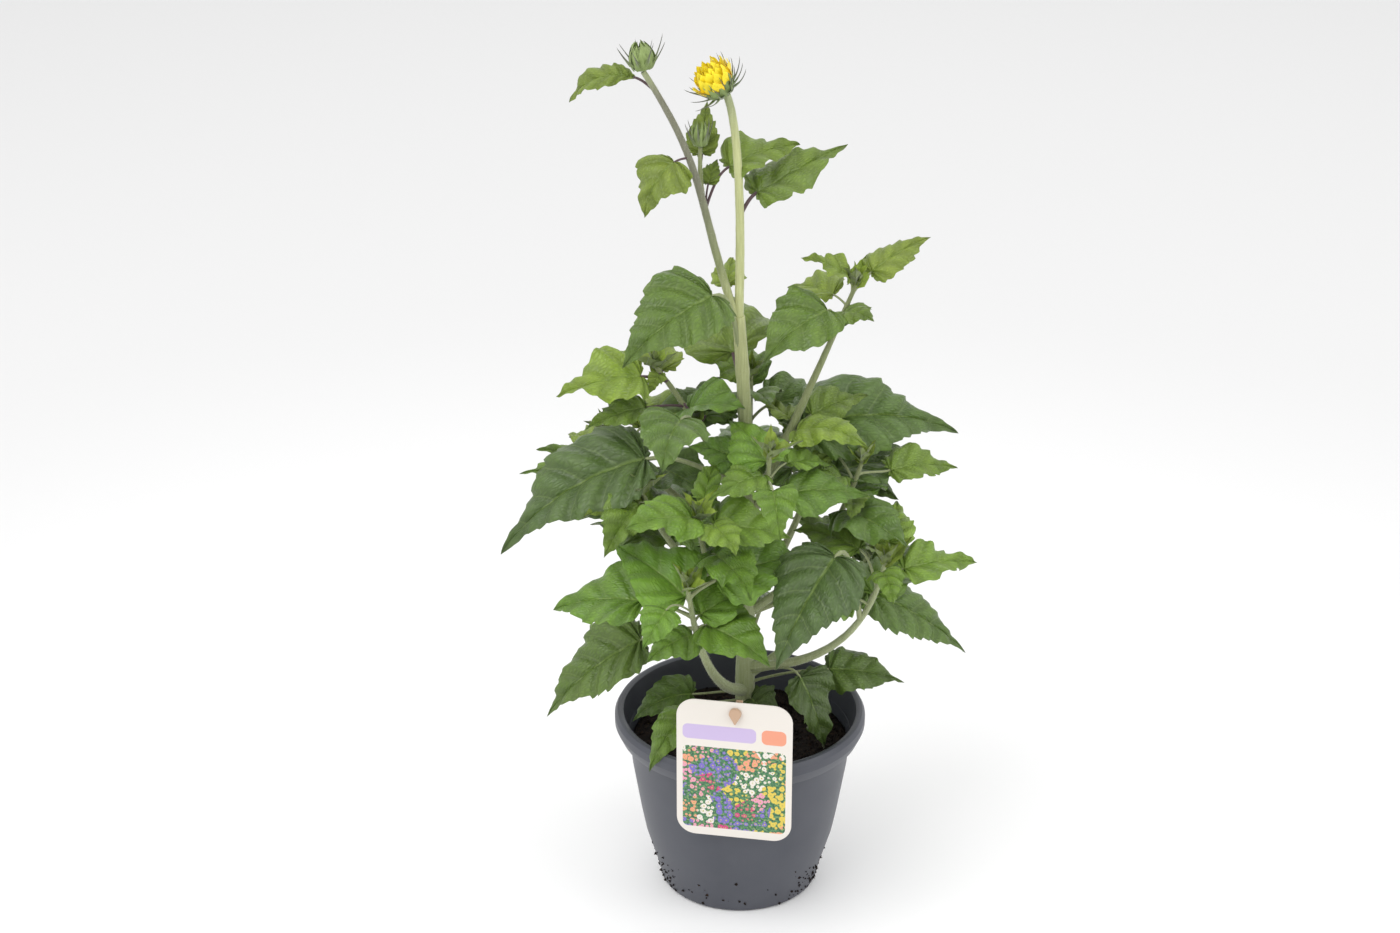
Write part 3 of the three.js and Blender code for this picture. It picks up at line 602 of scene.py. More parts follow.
def leaf_tint(age, fresh, rng):
    """A leaf's own green by its age, from 0 at the tips to 1 for the oldest, and its freshness."""
    look = settings("leaf")
    greens = [look.young, look.light, look.middle, look.old]
    age = min(0.999, max(0, age + rng.uniform(-0.07, 0.07))) * (len(greens) - 1)
    made = mix(greens[int(age)], greens[int(age) + 1], age % 1)
    made = mix(made, look.fresh, max(0, fresh + rng.uniform(-0.25, 0.2)))
    return made * rng.uniform(0.88, 1.12)


# Leaves longer than this have the large grid, and keep to their place in the source; a short one is freer
LARGE_PAST, HELD, FREE = 85, 0.12, 1.2
# Radius of a stalk over its leaf's length, and its least and most in millimetres
STALK_SHARE, THIN_STALK, THICK_STALK = 0.019, 0.8, 1.9


def grow_leaf(into, root, row, age, fresh, rng, stalk_tint, painted_brightness=1.0, **form):
    """Adds a leaf: its stalk, and its blade on the end of the stalk."""
    turn, pitch, length, wide, stalk, rise, droop, roll = row
    look = settings("leaf")
    base = root + direction(turn, rise) * stalk
    radius = min(THICK_STALK, max(THIN_STALK, STALK_SHARE * length))
    heading = direction(turn, pitch + droop / 2)
    handles = [root, root + direction(turn, rise + 10) * stalk * 0.4, base - heading * stalk * 0.3, base]
    line = [on_curve(handles, t) for t in np.linspace(0, 1, 11)]
    free = HELD if length > LARGE_PAST else FREE
    form = {"tooth": look.tooth, "quilt": look.quilt, "twist": rng.uniform(-20, 20) * free,
            "wave": rng.uniform(0.03, 0.07) * max(0.6, free), "swing": rng.uniform(-14, 14) * free,
            "bow": rng.uniform(0, 0.4), "kind": "large" if length > LARGE_PAST else "leaf", **form}
    # Teeth are cut for a leaf 60 mm long
    form["tooth"] *= math.sqrt(60 / length)
    shape = (turn, pitch, length, wide, droop, roll)
    # The green is scaled by the painted brightness: painted shade below 1, painted light above 1
    rib = blade(into, base, shape, leaf_tint(age, fresh, rng) * painted_brightness, rng, **form)
    # The stalk runs on under the midrib, and narrows from its swollen foot to its end
    line += [p - np.array([0, 0, radius * 0.8]) for p in rib[4:24:5]]
    widths = np.interp(np.arange(len(line)), [0, 1.5, 10, len(line) - 1], [1.5, 1, 0.85, 0.35])
    tube(into, line, radius * widths, stalk_tint, 2, 7)


# Materials

BLACK, WHITE = (0, 0, 0), (1, 1, 1)


def fill(made, inputs):
    """Sets inputs of a node to values, or links them to a socket or to a node's first output."""
    for key, value in dict(inputs).items():
        socket = made.inputs[key]
        if isinstance(value, bpy.types.Node):
            value = value.outputs[0]
        if isinstance(value, bpy.types.NodeSocket):
            made.id_data.links.new(value, socket)
        else:
            socket.default_value = (*value[:3], 1) if socket.type == "RGBA" else value
    return made


def node(tree, kind, inputs=(), stops=(), **values):
    """Adds a node with its settings, its inputs as values or links, and a ramp's stops."""
    made = tree.nodes.new("ShaderNode" + kind)
    for name, value in values.items():
        setattr(made, name, value)
    for k, (at, shade) in enumerate(stops):
        stop = made.color_ramp.elements[k] if k < 2 else made.color_ramp.elements.new(at)
        stop.position, stop.color = at, (*shade, 1)
    return fill(made, inputs)


def surface(name):
    """A new material: itself, the way to add a node, its shader and its Object coordinates."""
    material = bpy.data.materials.new(name)
    material.use_nodes = True
    add = functools.partial(node, material.node_tree)
    return material, add, material.node_tree.nodes["Principled BSDF"], add("TexCoord").outputs["Object"]


def per_mm(mm):
    """Noise scale for features of that size in millimetres."""
    return 1 / (mm * MM)


def soft_plastic(name, shade, grain, rough):
    """Moulded plastic or coated card: even colour, a soft sheen and a fine eroded grain."""
    material, add, shader, place = surface(name)
    patches = add("TexNoise", {"Vector": place, "Scale": per_mm(38), "Detail": 4})
    pores = add("TexNoise", {"Vector": place, "Scale": per_mm(grain), "Detail": 2})
    fill(shader, {
        "Base Color": add("MixRGB", {0: patches, 1: mix(shade, BLACK, 0.12), 2: mix(shade, WHITE, 0.035)}),
        "Roughness": add("MapRange", {0: patches, 3: rough - 0.06, 4: rough + 0.08}),
        "Normal": add("Bump", {"Height": pores, "Strength": 0.25, "Distance": 0.00012}),
        "IOR": 1.49,
    })
    return material


def damp_peat(name, dark, fibre):
    """Damp peat: nearly black crumbs with brown wood fibres, dull all over."""
    material, add, shader, place = surface(name)
    # Lumps are about 9 mm across and fibres about 2.5 mm apart
    clods = add("TexNoise", {"Vector": place, "Scale": per_mm(9), "Detail": 6})
    fibres = add("TexNoise", {"Vector": place, "Scale": per_mm(2.5), "Detail": 4, "Distortion": 1.2})
    bits = add("ValToRGB", {0: fibres}, [(0.5, dark), (0.62, mix(dark, fibre, 0.35)), (0.72, fibre)])
    fill(shader, {
        "Base Color": add("MixRGB", {0: clods, 1: bits, 2: mix(dark, BLACK, 0.5)}),
        "Roughness": 0.93, "Specular IOR Level": 0.25,
        "Normal": add("Bump", {"Height": fibres, "Strength": 0.9, "Distance": 0.0012}),
    })
    return material


def hairy_stem(name):
    """Sunflower stem: streaked green under fine white hairs, which give it a soft pale edge."""
    material, add, shader, place = surface(name)
    tint = add("Attribute", attribute_name="tint")
    # Streaks 1.5 mm wide and 20 mm long run up the stem
    drawn = add("Mapping", {"Vector": place, "Scale": (1, 1, 0.08)})
    streaks = add("TexNoise", {"Vector": drawn, "Scale": per_mm(1.5), "Detail": 3})
    dark = add("HueSaturation", {"Color": tint, "Value": 0.66, "Saturation": 1.1})
    pale = add("HueSaturation", {"Color": tint, "Value": 1.3, "Saturation": 0.85})
    hairs = add("TexNoise", {"Vector": place, "Scale": per_mm(0.5), "Detail": 2})
    fill(shader, {
        "Base Color": add("MixRGB", {0: streaks, 1: dark, 2: pale}),
        "Roughness": 0.6, "Sheen Weight": 0.35, "Sheen Roughness": 0.4,
        "Normal": add("Bump", {"Height": hairs, "Strength": 0.4, "Distance": 0.0003}),
    })
    return material


def leaf_face(name, under=False):
    """A face of a sunflower leaf: hairy, quilted between pale side veins; the lower is paler."""
    look = settings("leaf")
    material, add, shader, place = surface(name)
    own = add("Attribute", attribute_name="tint")
    if under:
        own = add("MixRGB", {0: 0.62, 1: own, 2: look.under})
    # The blade's marks: number along the side veins, way out from the midrib, the leaf's own number
    marks = add("Attribute", attribute_name="mark").outputs["Vector"]
    parts = add("SeparateXYZ", {0: marks}).outputs
    out = add("Math", {0: parts[1]}, operation="ABSOLUTE")
    # Side veins wander a little, over about 11 mm
    wobble = add("TexNoise", {"Vector": place, "Scale": per_mm(11), "Detail": 1})
    bent = add("Math", {0: wobble, 1: 0.16, 2: parts[0]}, operation="MULTIPLY_ADD")
    from_vein = add("Math", {0: bent, 1: 0.5}, operation="PINGPONG")
    # Patches are about 14 mm across
    patches = add("TexNoise", {"Vector": place, "Scale": per_mm(14), "Detail": 4})
    dark = add("HueSaturation", {"Color": own, "Value": 0.74, "Hue": 0.508, "Saturation": 1.02})
    pale = add("HueSaturation", {"Color": own, "Value": 1.24, "Hue": 0.488, "Saturation": 1.0})
    tone = add("MixRGB", {0: patches, 1: dark, 2: pale})
    # Small cells between the side veins: four across a gap and ten from the midrib to the margin
    cells = add("VectorMath", {0: marks, 1: (4, 10, 1)}, operation="MULTIPLY")
    net = add("TexVoronoi", {"Vector": cells, "Scale": 1.0}, feature="DISTANCE_TO_EDGE")
    puff = add("MapRange", {0: net, 1: 0.0, 2: 0.3})
    # Painted shade and highlight: the tissue is darker in the furrows along the veins and at the edges of the
    # small cells, as painted shade, and paler on the swellings between, as a painted highlight
    furrow_shading = add("MapRange", {0: from_vein, 1: 0.0, 2: 0.4, 3: 0.82, 4: 1.08})
    cell_shading = add("MapRange", {0: puff, 3: 0.84, 4: 1.05})
    shade = add("Math", {0: furrow_shading, 1: cell_shading}, operation="MULTIPLY")
    tone = add("HueSaturation", {"Color": tone, "Value": shade})
    # Midrib and side veins as thin pale lines, the side veins thinner towards the margin
    narrow = add("MapRange", {0: out, 3: 0.07 if under else 0.05, 4: 0.02})
    side = add("MapRange", {0: from_vein, 2: narrow, 3: 0.7 if under else 0.2, 4: 0.0})
    middle = add("MapRange", {0: out, 1: 0.015, 2: 0.05, 3: 0.9 if under else 0.5, 4: 0.0})
    line = add("Math", {0: side, 1: middle}, operation="MAXIMUM")
    vein = mix(look.under, WHITE, 0.2) if under else look.vein
    # Relief: swellings 1.2 mm high between the side veins, and the small cells on them
    swell = add("MapRange", {0: from_vein, 1: 0.0, 2: 0.4}, interpolation_type="SMOOTHSTEP")
    height = add("Math", {0: puff, 1: 0.3, 2: swell}, operation="MULTIPLY_ADD")
    rough = (0.6, 0.75) if under else (0.3, 0.46)
    fill(shader, {
        "Base Color": add("MixRGB", {0: line, 1: tone, 2: vein}),
        "Roughness": add("MapRange", {0: patches, 1: 0.3, 2: 0.7, 3: rough[0], 4: rough[1]}),
        "Specular IOR Level": 0.3 if under else 0.5,
        "Sheen Weight": 0.25 if under else 0.02, "Sheen Roughness": 0.5,
        "Normal": add("Bump", {"Height": height, "Strength": 0.85, "Distance": 0.0012}, invert=under),
    })
    return material


def petal_face(name):
    """Ray floret: thin clear yellow with fine lengthwise lines, silky."""
    material, add, shader, place = surface(name)
    own = add("Attribute", attribute_name="tint")
    grain = add("TexNoise", {"Vector": place, "Scale": per_mm(1.6), "Detail": 2})
    deep = add("HueSaturation", {"Color": own, "Hue": 0.495, "Value": 0.92})
    fill(shader, {
        "Base Color": add("MixRGB", {0: grain, 1: deep, 2: own}),
        "Roughness": 0.5, "Sheen Weight": 0.2,
        "Normal": add("Bump", {"Height": grain, "Strength": 0.3, "Distance": 0.0002}),
    })
    return material


# The print, in millimetres: boxes from the card's middle (low, high, left, right) and their corners
PICTURE, LILAC_BAND, SALMON_BAND = (-50, 18, -38, 38), (24, 36, -38, 16), (24, 36, 20, 38)
PRINT_CORNER = 4
# Width of a drift of one colour; blossoms: distance, petal and heart over it
DRIFT, BLOSSOMS = 15, ((6.5, 0.36, 0.1), (4.2, 0.3, 0.08))


def printed_card(name):
    """Coated card: a print of small blossoms on green under two bands, smooth and slightly glossy."""
    look = settings("label")
    material, add, shader, place = surface(name)
    turned = add("Mapping", {"Vector": place, "Rotation": (0, 0, math.radians(-LABEL["turn"])),
                             "Scale": (1 / MM, 1 / MM, 1 / MM)})
    across = add("SeparateXYZ", {0: turned}).outputs
    right = add("Math", {0: across[0], 1: LABEL["x"]}, operation="SUBTRACT")
    height = add("Math", {0: across[2], 1: LABEL["z"]}, operation="SUBTRACT")

    def inside(low, high, left, far):
        """1 inside a rounded box of the card, in millimetres from its middle."""
        apart = []
        for off, a, b in ((right, left, far), (height, low, high)):
            for operation, by in (("SUBTRACT", (a + b) / 2), ("ABSOLUTE", 0.0),
                                  ("SUBTRACT", (b - a) / 2 - PRINT_CORNER), ("MAXIMUM", 0.0), ("POWER", 2.0)):
                off = add("Math", {0: off, 1: by}, operation=operation)
            apart.append(off)
        total = add("Math", {0: apart[0], 1: apart[1]}, operation="ADD")
        return add("Math", {0: total, 1: PRINT_CORNER ** 2}, operation="LESS_THAN")

    flat = add("CombineXYZ", {0: right, 1: height})
    leafy = add("TexNoise", {"Vector": flat, "Scale": 0.6, "Detail": 4})
    ground = add("ValToRGB", {0: leafy}, [(0.38, mix(look.meadow, BLACK, 0.6)), (0.55, look.meadow),
                                          (0.68, mix(look.meadow, look.yellow, 0.4))])
    # Drifts of one colour, with five-petalled blossoms in two sizes
    bent = add("MixRGB", {0: 0.08, 1: flat, 2: leafy.outputs["Color"]}, blend_type="ADD")
    drifts = add("TexVoronoi", {"Vector": bent, "Scale": 1 / DRIFT}, voronoi_dimensions="2D")
    pick = add("SeparateColor", {0: drifts.outputs["Color"]})
    paints = add("ValToRGB", {0: pick}, [(0.0, look.yellow), (0.2, look.pink), (0.36, look.violet),
                                         (0.5, look.card), (0.64, look.rose), (0.8, look.salmon)])
    paints.color_ramp.interpolation = "CONSTANT"
    for apart, petal, heart in BLOSSOMS:
        cells = add("TexVoronoi", {"Vector": flat, "Scale": 1 / apart, "Randomness": 0.6},
                    voronoi_dimensions="2D")
        spot = add("VectorMath", {0: flat, 1: (1 / apart,) * 3}, operation="MULTIPLY")
        spot = add("VectorMath", {0: spot, 1: cells.outputs["Position"]}, operation="SUBTRACT")
        parts = add("SeparateXYZ", {0: spot}).outputs
        turn = add("Math", {0: parts[1], 1: parts[0]}, operation="ARCTAN2")
        for operation, by in (("MULTIPLY", 2.5), ("COSINE", 0.0), ("ABSOLUTE", 0.0)):
            turn = add("Math", {0: turn, 1: by}, operation=operation)
        rim = add("MapRange", {0: turn, 3: petal * 0.55, 4: petal})
        for edge, ink in ((rim, paints), (heart, mix(look.yellow, look.meadow, 0.3))):
            mask = add("Math", {0: cells, 1: edge}, operation="LESS_THAN")
            ground = add("MixRGB", {0: mask, 1: ground, 2: ink})
    shown = look.card
    for box, ink in ((PICTURE, ground), (LILAC_BAND, look.lilac), (SALMON_BAND, look.salmon)):
        shown = add("MixRGB", {0: inside(*box), 1: shown, 2: ink})
    fibres = add("TexNoise", {"Vector": place, "Scale": per_mm(1.2), "Detail": 2})
    fill(shader, {
        "Base Color": shown, "Roughness": 0.32,
        "Normal": add("Bump", {"Height": fibres, "Strength": 0.08, "Distance": 0.0001}),
    })
    return material


# Pieces modelled one by one


def metres(*lengths):
    """Millimetres as a list of metres."""
    return [length * MM for length in lengths]


def started(operator, **values):
    """Runs an operator that adds an object, with nothing else selected, and returns the object."""
    bpy.ops.object.select_all(action="DESELECT")
    operator(**values)
    return bpy.context.object


def reshaped(piece, *steps):
    """Runs mesh operators on the whole of a piece: each step is an operator and its settings."""
    alone(piece)
    bpy.ops.object.mode_set(mode="EDIT")
    for operator, values in steps:
        bpy.ops.mesh.select_all(action="SELECT")
        operator(**values)
    bpy.ops.object.mode_set(mode="OBJECT")
    return piece


def joined(name, parts):
    """Joins objects into the first of them, under a new name."""
    alone(parts[0])
    for part in parts:
        part.select_set(True)
    bpy.ops.object.join()
    parts[0].name = parts[0].data.name = name
    return parts[0]


OUTWARDS = (bpy.ops.mesh.normals_make_consistent, {"inside": False})


def spun(name, outline, steps):
    """A closed solid of revolution about +Z from its outline of radius and height."""
    piece = started(bpy.ops.mesh.primitive_circle_add, vertices=len(outline), radius=0.1,
                    fill_type="NOTHING")
    piece.name = piece.data.name = name
    for corner, (radius, height) in zip(piece.data.vertices, outline):
        corner.co = metres(radius, 0, height)
    return reshaped(
        piece,
        (bpy.ops.mesh.spin, {"steps": steps, "angle": 2 * math.pi, "center": (0, 0, 0), "axis": (0, 0, 1)}),
        (bpy.ops.mesh.remove_doubles, {"threshold": 0.00002}),
        (bpy.ops.mesh.dissolve_degenerate, {"threshold": 0.00001}), OUTWARDS)


def apply(piece, kind, **values):
    """Adds a modifier with its settings and applies it."""
    alone(piece)
    modifier = piece.modifiers.new(kind.title(), kind)
    for key, value in values.items():
        setattr(modifier, key, value)
    bpy.ops.object.modifier_apply(modifier=modifier.name)


def lumps(name, mm, depth=2):
    """A cloud texture for a Displace modifier, with lumps of that size."""
    texture = bpy.data.textures.new(name, "CLOUDS")
    texture.noise_scale = mm * MM
    texture.noise_depth = depth
    return texture


def dress(piece, *materials):
    """Gives a piece its materials in place of any it has."""
    piece.data.materials.clear()
    for material in materials:
        piece.data.materials.append(material)


def make_pot():
    """The nursery pot: its spun wall, drain holes and rounded edges."""
    look = settings("pot")
    pot = spun("pot", POT_OUTSIDE + POT_INSIDE, 96)
    for i in range(DRAINS["count"]):
        turn = 2 * math.pi * (i + 0.5) / DRAINS["count"]
        drain = started(bpy.ops.mesh.primitive_cylinder_add, vertices=24, radius=DRAINS["radius"] * MM,
                        depth=0.02, location=metres(DRAINS["circle"] * math.cos(turn),
                                                    DRAINS["circle"] * math.sin(turn), 0))
        apply(pot, "BOOLEAN", operation="DIFFERENCE", object=drain, solver="EXACT")
        bpy.data.objects.remove(drain)
    apply(pot, "BEVEL", width=look.wall, segments=3, limit_method="ANGLE",
          angle_limit=math.radians(24), harden_normals=False)
    smooth(pot, 50)
    dress(pot, soft_plastic("moulded polypropylene", look.body, 0.7, 0.42))
    finish_piece(pot, "pot", "pot")


# The fill: its foot on the pot's floor, and its wavy top: rim, step and count of rings, middle height
FILL_FOOT, FILL_TOP = 3 + GAP, (81.6, 3.4, 24, 117.2)
# The part of the top that has lumps: above this height and inside this radius
LUMPY_FROM, LUMPY_INSIDE = 116.5, 80
# A crumb's corners and faces
CHUNK = np.array([(0, 0, 1), (1, 0, 0), (0, 1, 0), (-1, 0, 0), (0, -1, 0), (0, 0, -1)], float)
CHUNK_FACES = [[0, 1, 2], [0, 2, 3], [0, 3, 4], [0, 4, 1], [5, 2, 1], [5, 3, 2], [5, 4, 3], [5, 1, 4]]
# Crumbs that stick to the pot's foot, most of them on the left and on the right: turn, spread, count
STUCK = ((205, 12, 60), (330, 14, 80), (270, 60, 18), (90, 70, 40))
# Height and radius of the pot's outside near its foot
FOOT_WALL = ((0, 1.5, 17, 44, 62), (58.5, 60, 64, 72, 75.5))


def make_crumbs(peat):
    """Loose crumbs on the fill, and some stuck to the pot's foot."""
    rng = np.random.default_rng(11)
    crumbs = Gathered()

    def crumb(radius, turn, height, mm):
        shape = CHUNK * rng.uniform(0.6, 1.4, (6, 1)) * (mm * rng.uniform(0.4, 1.0, 3))
        turned = Matrix.Rotation(rng.uniform(0, 6.28), 3, Vector(rng.normal(size=3)))
        spot = (radius * math.cos(turn), radius * math.sin(turn), height)
        crumbs.add(shape @ np.array(turned) + spot, CHUNK_FACES, BLACK)

    for _ in range(settings("pot").crumbs):
        radius, turn = LUMPY_INSIDE * math.sqrt(rng.uniform(0.02, 1)), rng.uniform(0, 2 * math.pi)
        crumb(radius, turn, SOIL_TOP - 0.2, rng.uniform(0.5, 2.4))
    for middle, spread, count in STUCK:
        for _ in range(count):
            turn = math.radians(rng.normal(middle, spread))
            height = abs(rng.normal(0, 14)) + 1
            crumb(np.interp(height, *FOOT_WALL), turn, height, rng.uniform(0.4, 2.2))
    finish_piece(crumbs.build("soil_crumbs", [peat], 20), "soil")


def make_soil():
    """The peat: a lumpy fill, and the crumbs."""
    look = settings("pot")
    rim, step, rings, middle = FILL_TOP
    wall = [(r - GAP - 0.1, max(z, FILL_FOOT)) for r, z in reversed(POT_INSIDE) if r > 0 and z < SOIL_TOP]
    top = [(rim - step * k, middle + 0.5 * math.sin(k * 0.8)) for k in range(rings)] + [(0, SOIL_TOP)]
    soil = spun("soil", [(0, FILL_FOOT)] + wall + top, 128)
    group = soil.vertex_groups.new(name="top")
    group.add([v.index for v in soil.data.vertices
               if v.co.z > LUMPY_FROM * MM and v.co.xy.length < LUMPY_INSIDE * MM], 1.0, "REPLACE")
    for mm, share in ((16, 1.0), (5, 0.8)):
        apply(soil, "DISPLACE", texture=lumps("peat lumps", mm), strength=look.relief * share,
              mid_level=0.5, vertex_group="top", direction="Z")
    bpy.ops.object.shade_smooth()
    peat = damp_peat("damp peat", look.peat, look.bits)
    dress(soil, peat)
    finish_piece(soil, "soil", "soil")
    make_crumbs(peat)


TRUNK_LENGTH = curve_length(LIMBS["trunk"][0])
# Flare at a limb's foot: a bough's as a share of its radius that fades fast, the trunk's over some mm
BOUGH_FLARE, BOUGH_FADE = 0.12, 30
TRUNK_FLARE, FLARE_LENGTH = 3.6, 7
# The trunk swells by so much at each joint, over so many millimetres
JOINT_SWELL, JOINT_LENGTH = 0.5, 5
# Colours of the stems by height in millimetres; the boughs share the first row
STEM_TINTS = {
    "": [(260, "grey"), (340, "olive")],
    "trunk": [(250, "grey"), (380, "olive"), (440, "light")],
    "right_stem": [(470, "light"), (590, "light"), (622, "grey")],
    "left_stem": [(460, "light"), (500, "olive"), (560, "flushed"), (625, "flushed"), (640, "grey")],
    "side_stalk": [(500, "flushed"), (560, "olive")],
}


def limb_radius(name, t):
    """Radius of a limb at a fraction of its curve, with its flare and swollen joints."""
    _, foot, tip = LIMBS[name]
    radius = foot + (tip - foot) * t
    if name != "trunk":
        return radius + BOUGH_FLARE * foot * np.exp(-t * BOUGH_FADE)
    joints = {start for start, *_ in SHOOTS.values()}
    joints.update(row[1] for row in LARGE_LEAVES.values() if row[0] == "trunk")
    swollen = sum(JOINT_SWELL * np.exp(-((t - joint) * TRUNK_LENGTH / JOINT_LENGTH) ** 2)
                  for joint in joints)
    return radius + TRUNK_FLARE * np.exp(-t * TRUNK_LENGTH / FLARE_LENGTH) + swollen


# Corners round a stem's section, corners to a rib, and the radius at which a rib has its full height
SECTION, TO_RIB, FULL_RIB = 44, 4, 5
# Cuts in a limb's curve
TRUNK_CUTS, LIMB_CUTS = 40, 16


def stem_section(rib):
    """A ribbed circle with a radius of 1 mm, as a curve."""
    section = started(bpy.ops.mesh.primitive_circle_add, vertices=SECTION, radius=MM, fill_type="NOTHING")
    for k, corner in enumerate(section.data.vertices):
        corner.co.xy *= 1 + rib / MM / FULL_RIB * math.cos(2 * math.pi * k / TO_RIB)
    bpy.ops.object.convert(target="CURVE")
    return bpy.context.object


def swept(name, section):
    """A limb: the section swept along the limb's curve, as wide as the limb is at each place."""
    p = [np.array(q, float) for q in LIMBS[name][0]]
    if len(p) == 3:
        p = [p[0], p[0] / 3 + p[1] * 2 / 3, p[2] / 3 + p[1] * 2 / 3, p[2]]
    line = started(bpy.ops.curve.primitive_bezier_curve_add, location=(0, 0, 0))
    start, finish = line.data.splines[0].bezier_points
    for knot in (start, finish):
        knot.handle_left_type = knot.handle_right_type = "FREE"
    a, b, c, d = (Vector(q) * MM for q in p)
    start.co, start.handle_right, finish.handle_left, finish.co = a, b, c, d
    start.handle_left, finish.handle_right = a * 2 - b, d * 2 - c
    cuts = TRUNK_CUTS if name == "trunk" else LIMB_CUTS
    bpy.ops.object.mode_set(mode="EDIT")
    bpy.ops.curve.select_all(action="SELECT")
    bpy.ops.curve.subdivide(number_cuts=cuts)
    bpy.ops.object.mode_set(mode="OBJECT")
    for k, knot in enumerate(line.data.splines[0].bezier_points):
        knot.radius = limb_radius(name, k / (cuts + 1))
    line.data.bevel_mode, line.data.bevel_object = "OBJECT", section
    line.data.use_fill_caps, line.data.resolution_u = True, 3
    alone(line)
    bpy.ops.object.convert(target="MESH")
    return bpy.context.object


def make_stems():
    """Trunk, stems and boughs: ribbed tubes along their curves, with swollen joints."""
    look = settings("stem")
    section = stem_section(look.rib)
    made = []
    for name in LIMBS:
        stem = swept(name, section)
        tint = stem.data.attributes.new("tint", "FLOAT_COLOR", "POINT")
        rows = STEM_TINTS.get(name, STEM_TINTS[""])
        heights, shades = [z for z, _ in rows], [getattr(look, key) for _, key in rows]
        for spot, shade in zip(stem.data.vertices, tint.data):
            own = [np.interp(spot.co.z / MM, heights, [s[k] for s in shades]) for k in range(3)]
            shade.color = (*own, 1)
        made.append(stem)
    bpy.data.objects.remove(section)
    stems = joined("stems", made)
    reshaped(stems, (bpy.ops.mesh.remove_doubles, {"threshold": 0.00001}), OUTWARDS)
    apply(stems, "DISPLACE", texture=lumps("stem knots", 6), strength=0.0005, mid_level=0.5)
    smooth(stems, 60)
    dress(stems, hairy_stem("hairy sunflower stem"))
    finish_piece(stems, "stems", *[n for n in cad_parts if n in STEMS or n.startswith("bough_")])


# Radius of a hair's foot, and how deep its root is in the stem
HAIR_FOOT, HAIR_ROOT = 0.06, 0.15
# A hair is a thin pyramid: its three foot corners, then its tip
HAIR_FACES = np.array([[0, 1, 3], [1, 2, 3], [2, 0, 3], [2, 1, 0]])


def make_hairs():
    """Fine white hairs that stand off the trunk, the stems and the boughs."""
    look = settings("stem")
    rng = np.random.default_rng(3)
    hairs = Gathered()
    for name, (points, _, _) in LIMBS.items():
        count = int(curve_length(points) * look.hairs)
        t = rng.uniform(0.01, 0.98, (count, 1))
        middle = on_curve(points, t)
        along = on_curve(points, t + 0.01) - middle
        along /= np.linalg.norm(along, axis=1)[:, None]
        out = np.cross(along, rng.normal(size=(count, 3)))
        out /= np.linalg.norm(out, axis=1)[:, None]
        beside = np.cross(along, out)
        root = middle + out * (limb_radius(name, t) - HAIR_ROOT)
        lean = along * rng.uniform(-0.2, 0.5, (count, 1)) + beside * rng.uniform(-0.3, 0.3, (count, 1))
        tip = root + (out + lean) * rng.uniform(0.6, 1.2, (count, 1)) * look.hair / MM
        corners = [root + HAIR_FOOT * (math.cos(turn) * beside + math.sin(turn) * along)
                   for turn in (0, 2 * math.pi / 3, 4 * math.pi / 3)] + [tip]
        faces = (HAIR_FACES[None] + 4 * np.arange(count)[:, None, None]).reshape(-1, 3)
        hairs.add(np.stack(corners, 1).reshape(-1, 3), faces.tolist(), look.down)
    finish_piece(hairs.build("stem_hairs", [hairy_stem("white stem hairs")], 180), "stems")


# How each large leaf looks: age, freshness, painted brightness, and its form where it is its own; the
# brightness scales its green, as painted shade below 1 and painted light above 1
LEAF_LOOKS = {
    "bud_leaf": (0.42, 0, 1, {"outline": "narrow", "curl": 30, "wave": 0.04, "swing": 10, "twist": 0}),
    "left_high": (0.4, 0, 1, {}), "right_high": (0.44, 0, 1, {"wave": 0.06}),
    "fork_left": (0.7, 0, 0.9, {}), "fork_small": (0.2, 0, 1, {}), "fork_back": (0.55, 0, 0.95, {}),
    "branch_left": (0.45, 0, 1, {}), "branch_right": (0.5, 0, 1, {}), "front_right": (0.45, 0.3, 1.1, {}),
    "broad_left": (0.9, 0, 1, {"outline": "long", "wave": 0.03}),
    "broad_right": (0.85, 0, 1, {"outline": "long", "wave": 0.03}),
    "right_wide": (0.8, 0, 0.95, {}), "low_left": (0.7, 0.2, 0.95, {}), "low_right": (0.7, 0.3, 1, {}),
    "rim_right": (0.62, 0.2, 1, {}), "pot_right": (0.85, 0, 0.75, {}), "pot_left": (0.75, 0, 0.85, {}),
    "rim_left": (0.5, 0.4, 0.85, {}), "foot_front": (0.8, 0, 0.75, {}),
    "back_broad": (0.85, 0, 1, {}), "back_wide": (0.85, 0, 1, {}), "back_rim": (0.75, 0, 1, {}),
}
# Age of the leaves in the middle of a shoot, and their freshness; the last row is for the others
SHOOT_LOOKS = {"side": (0.34, 0.1), "upper_right": (0.44, 0.1), "upper_left": (0.42, 0.1),
               "centre": (0.44, 0.7), "mid_left": (0.46, 0.7), "low_front": (0.44, 0.9), "left": (0.5, 0.3),
               "right_mid": (0.5, 0.4), "right_low": (0.44, 0.6), "back_left": (0.5, 0.2), "": (0.6, 0.2)}
# Rows of a shoot, by turn and pitch, whose leaves are smooth-edged hearts
SMOOTH_LEAVES = {("upper_left", 320, 15)}
# Large leaves with a purple stalk, beside those of the left stem
DARK_STALKS = ("fork_back", "branch_left", "right_high")
# A large leaf longer than this is an old one
OLD_PAST = 80
# A shoot's leaves age with their distance below its tip, from this one on, and with their length
# past this one; so many millimetres of either are the whole way from a leaf at the tip to an old one
AGE_BELOW, AGE_LONGER, LIFETIME = 25, 60, 110


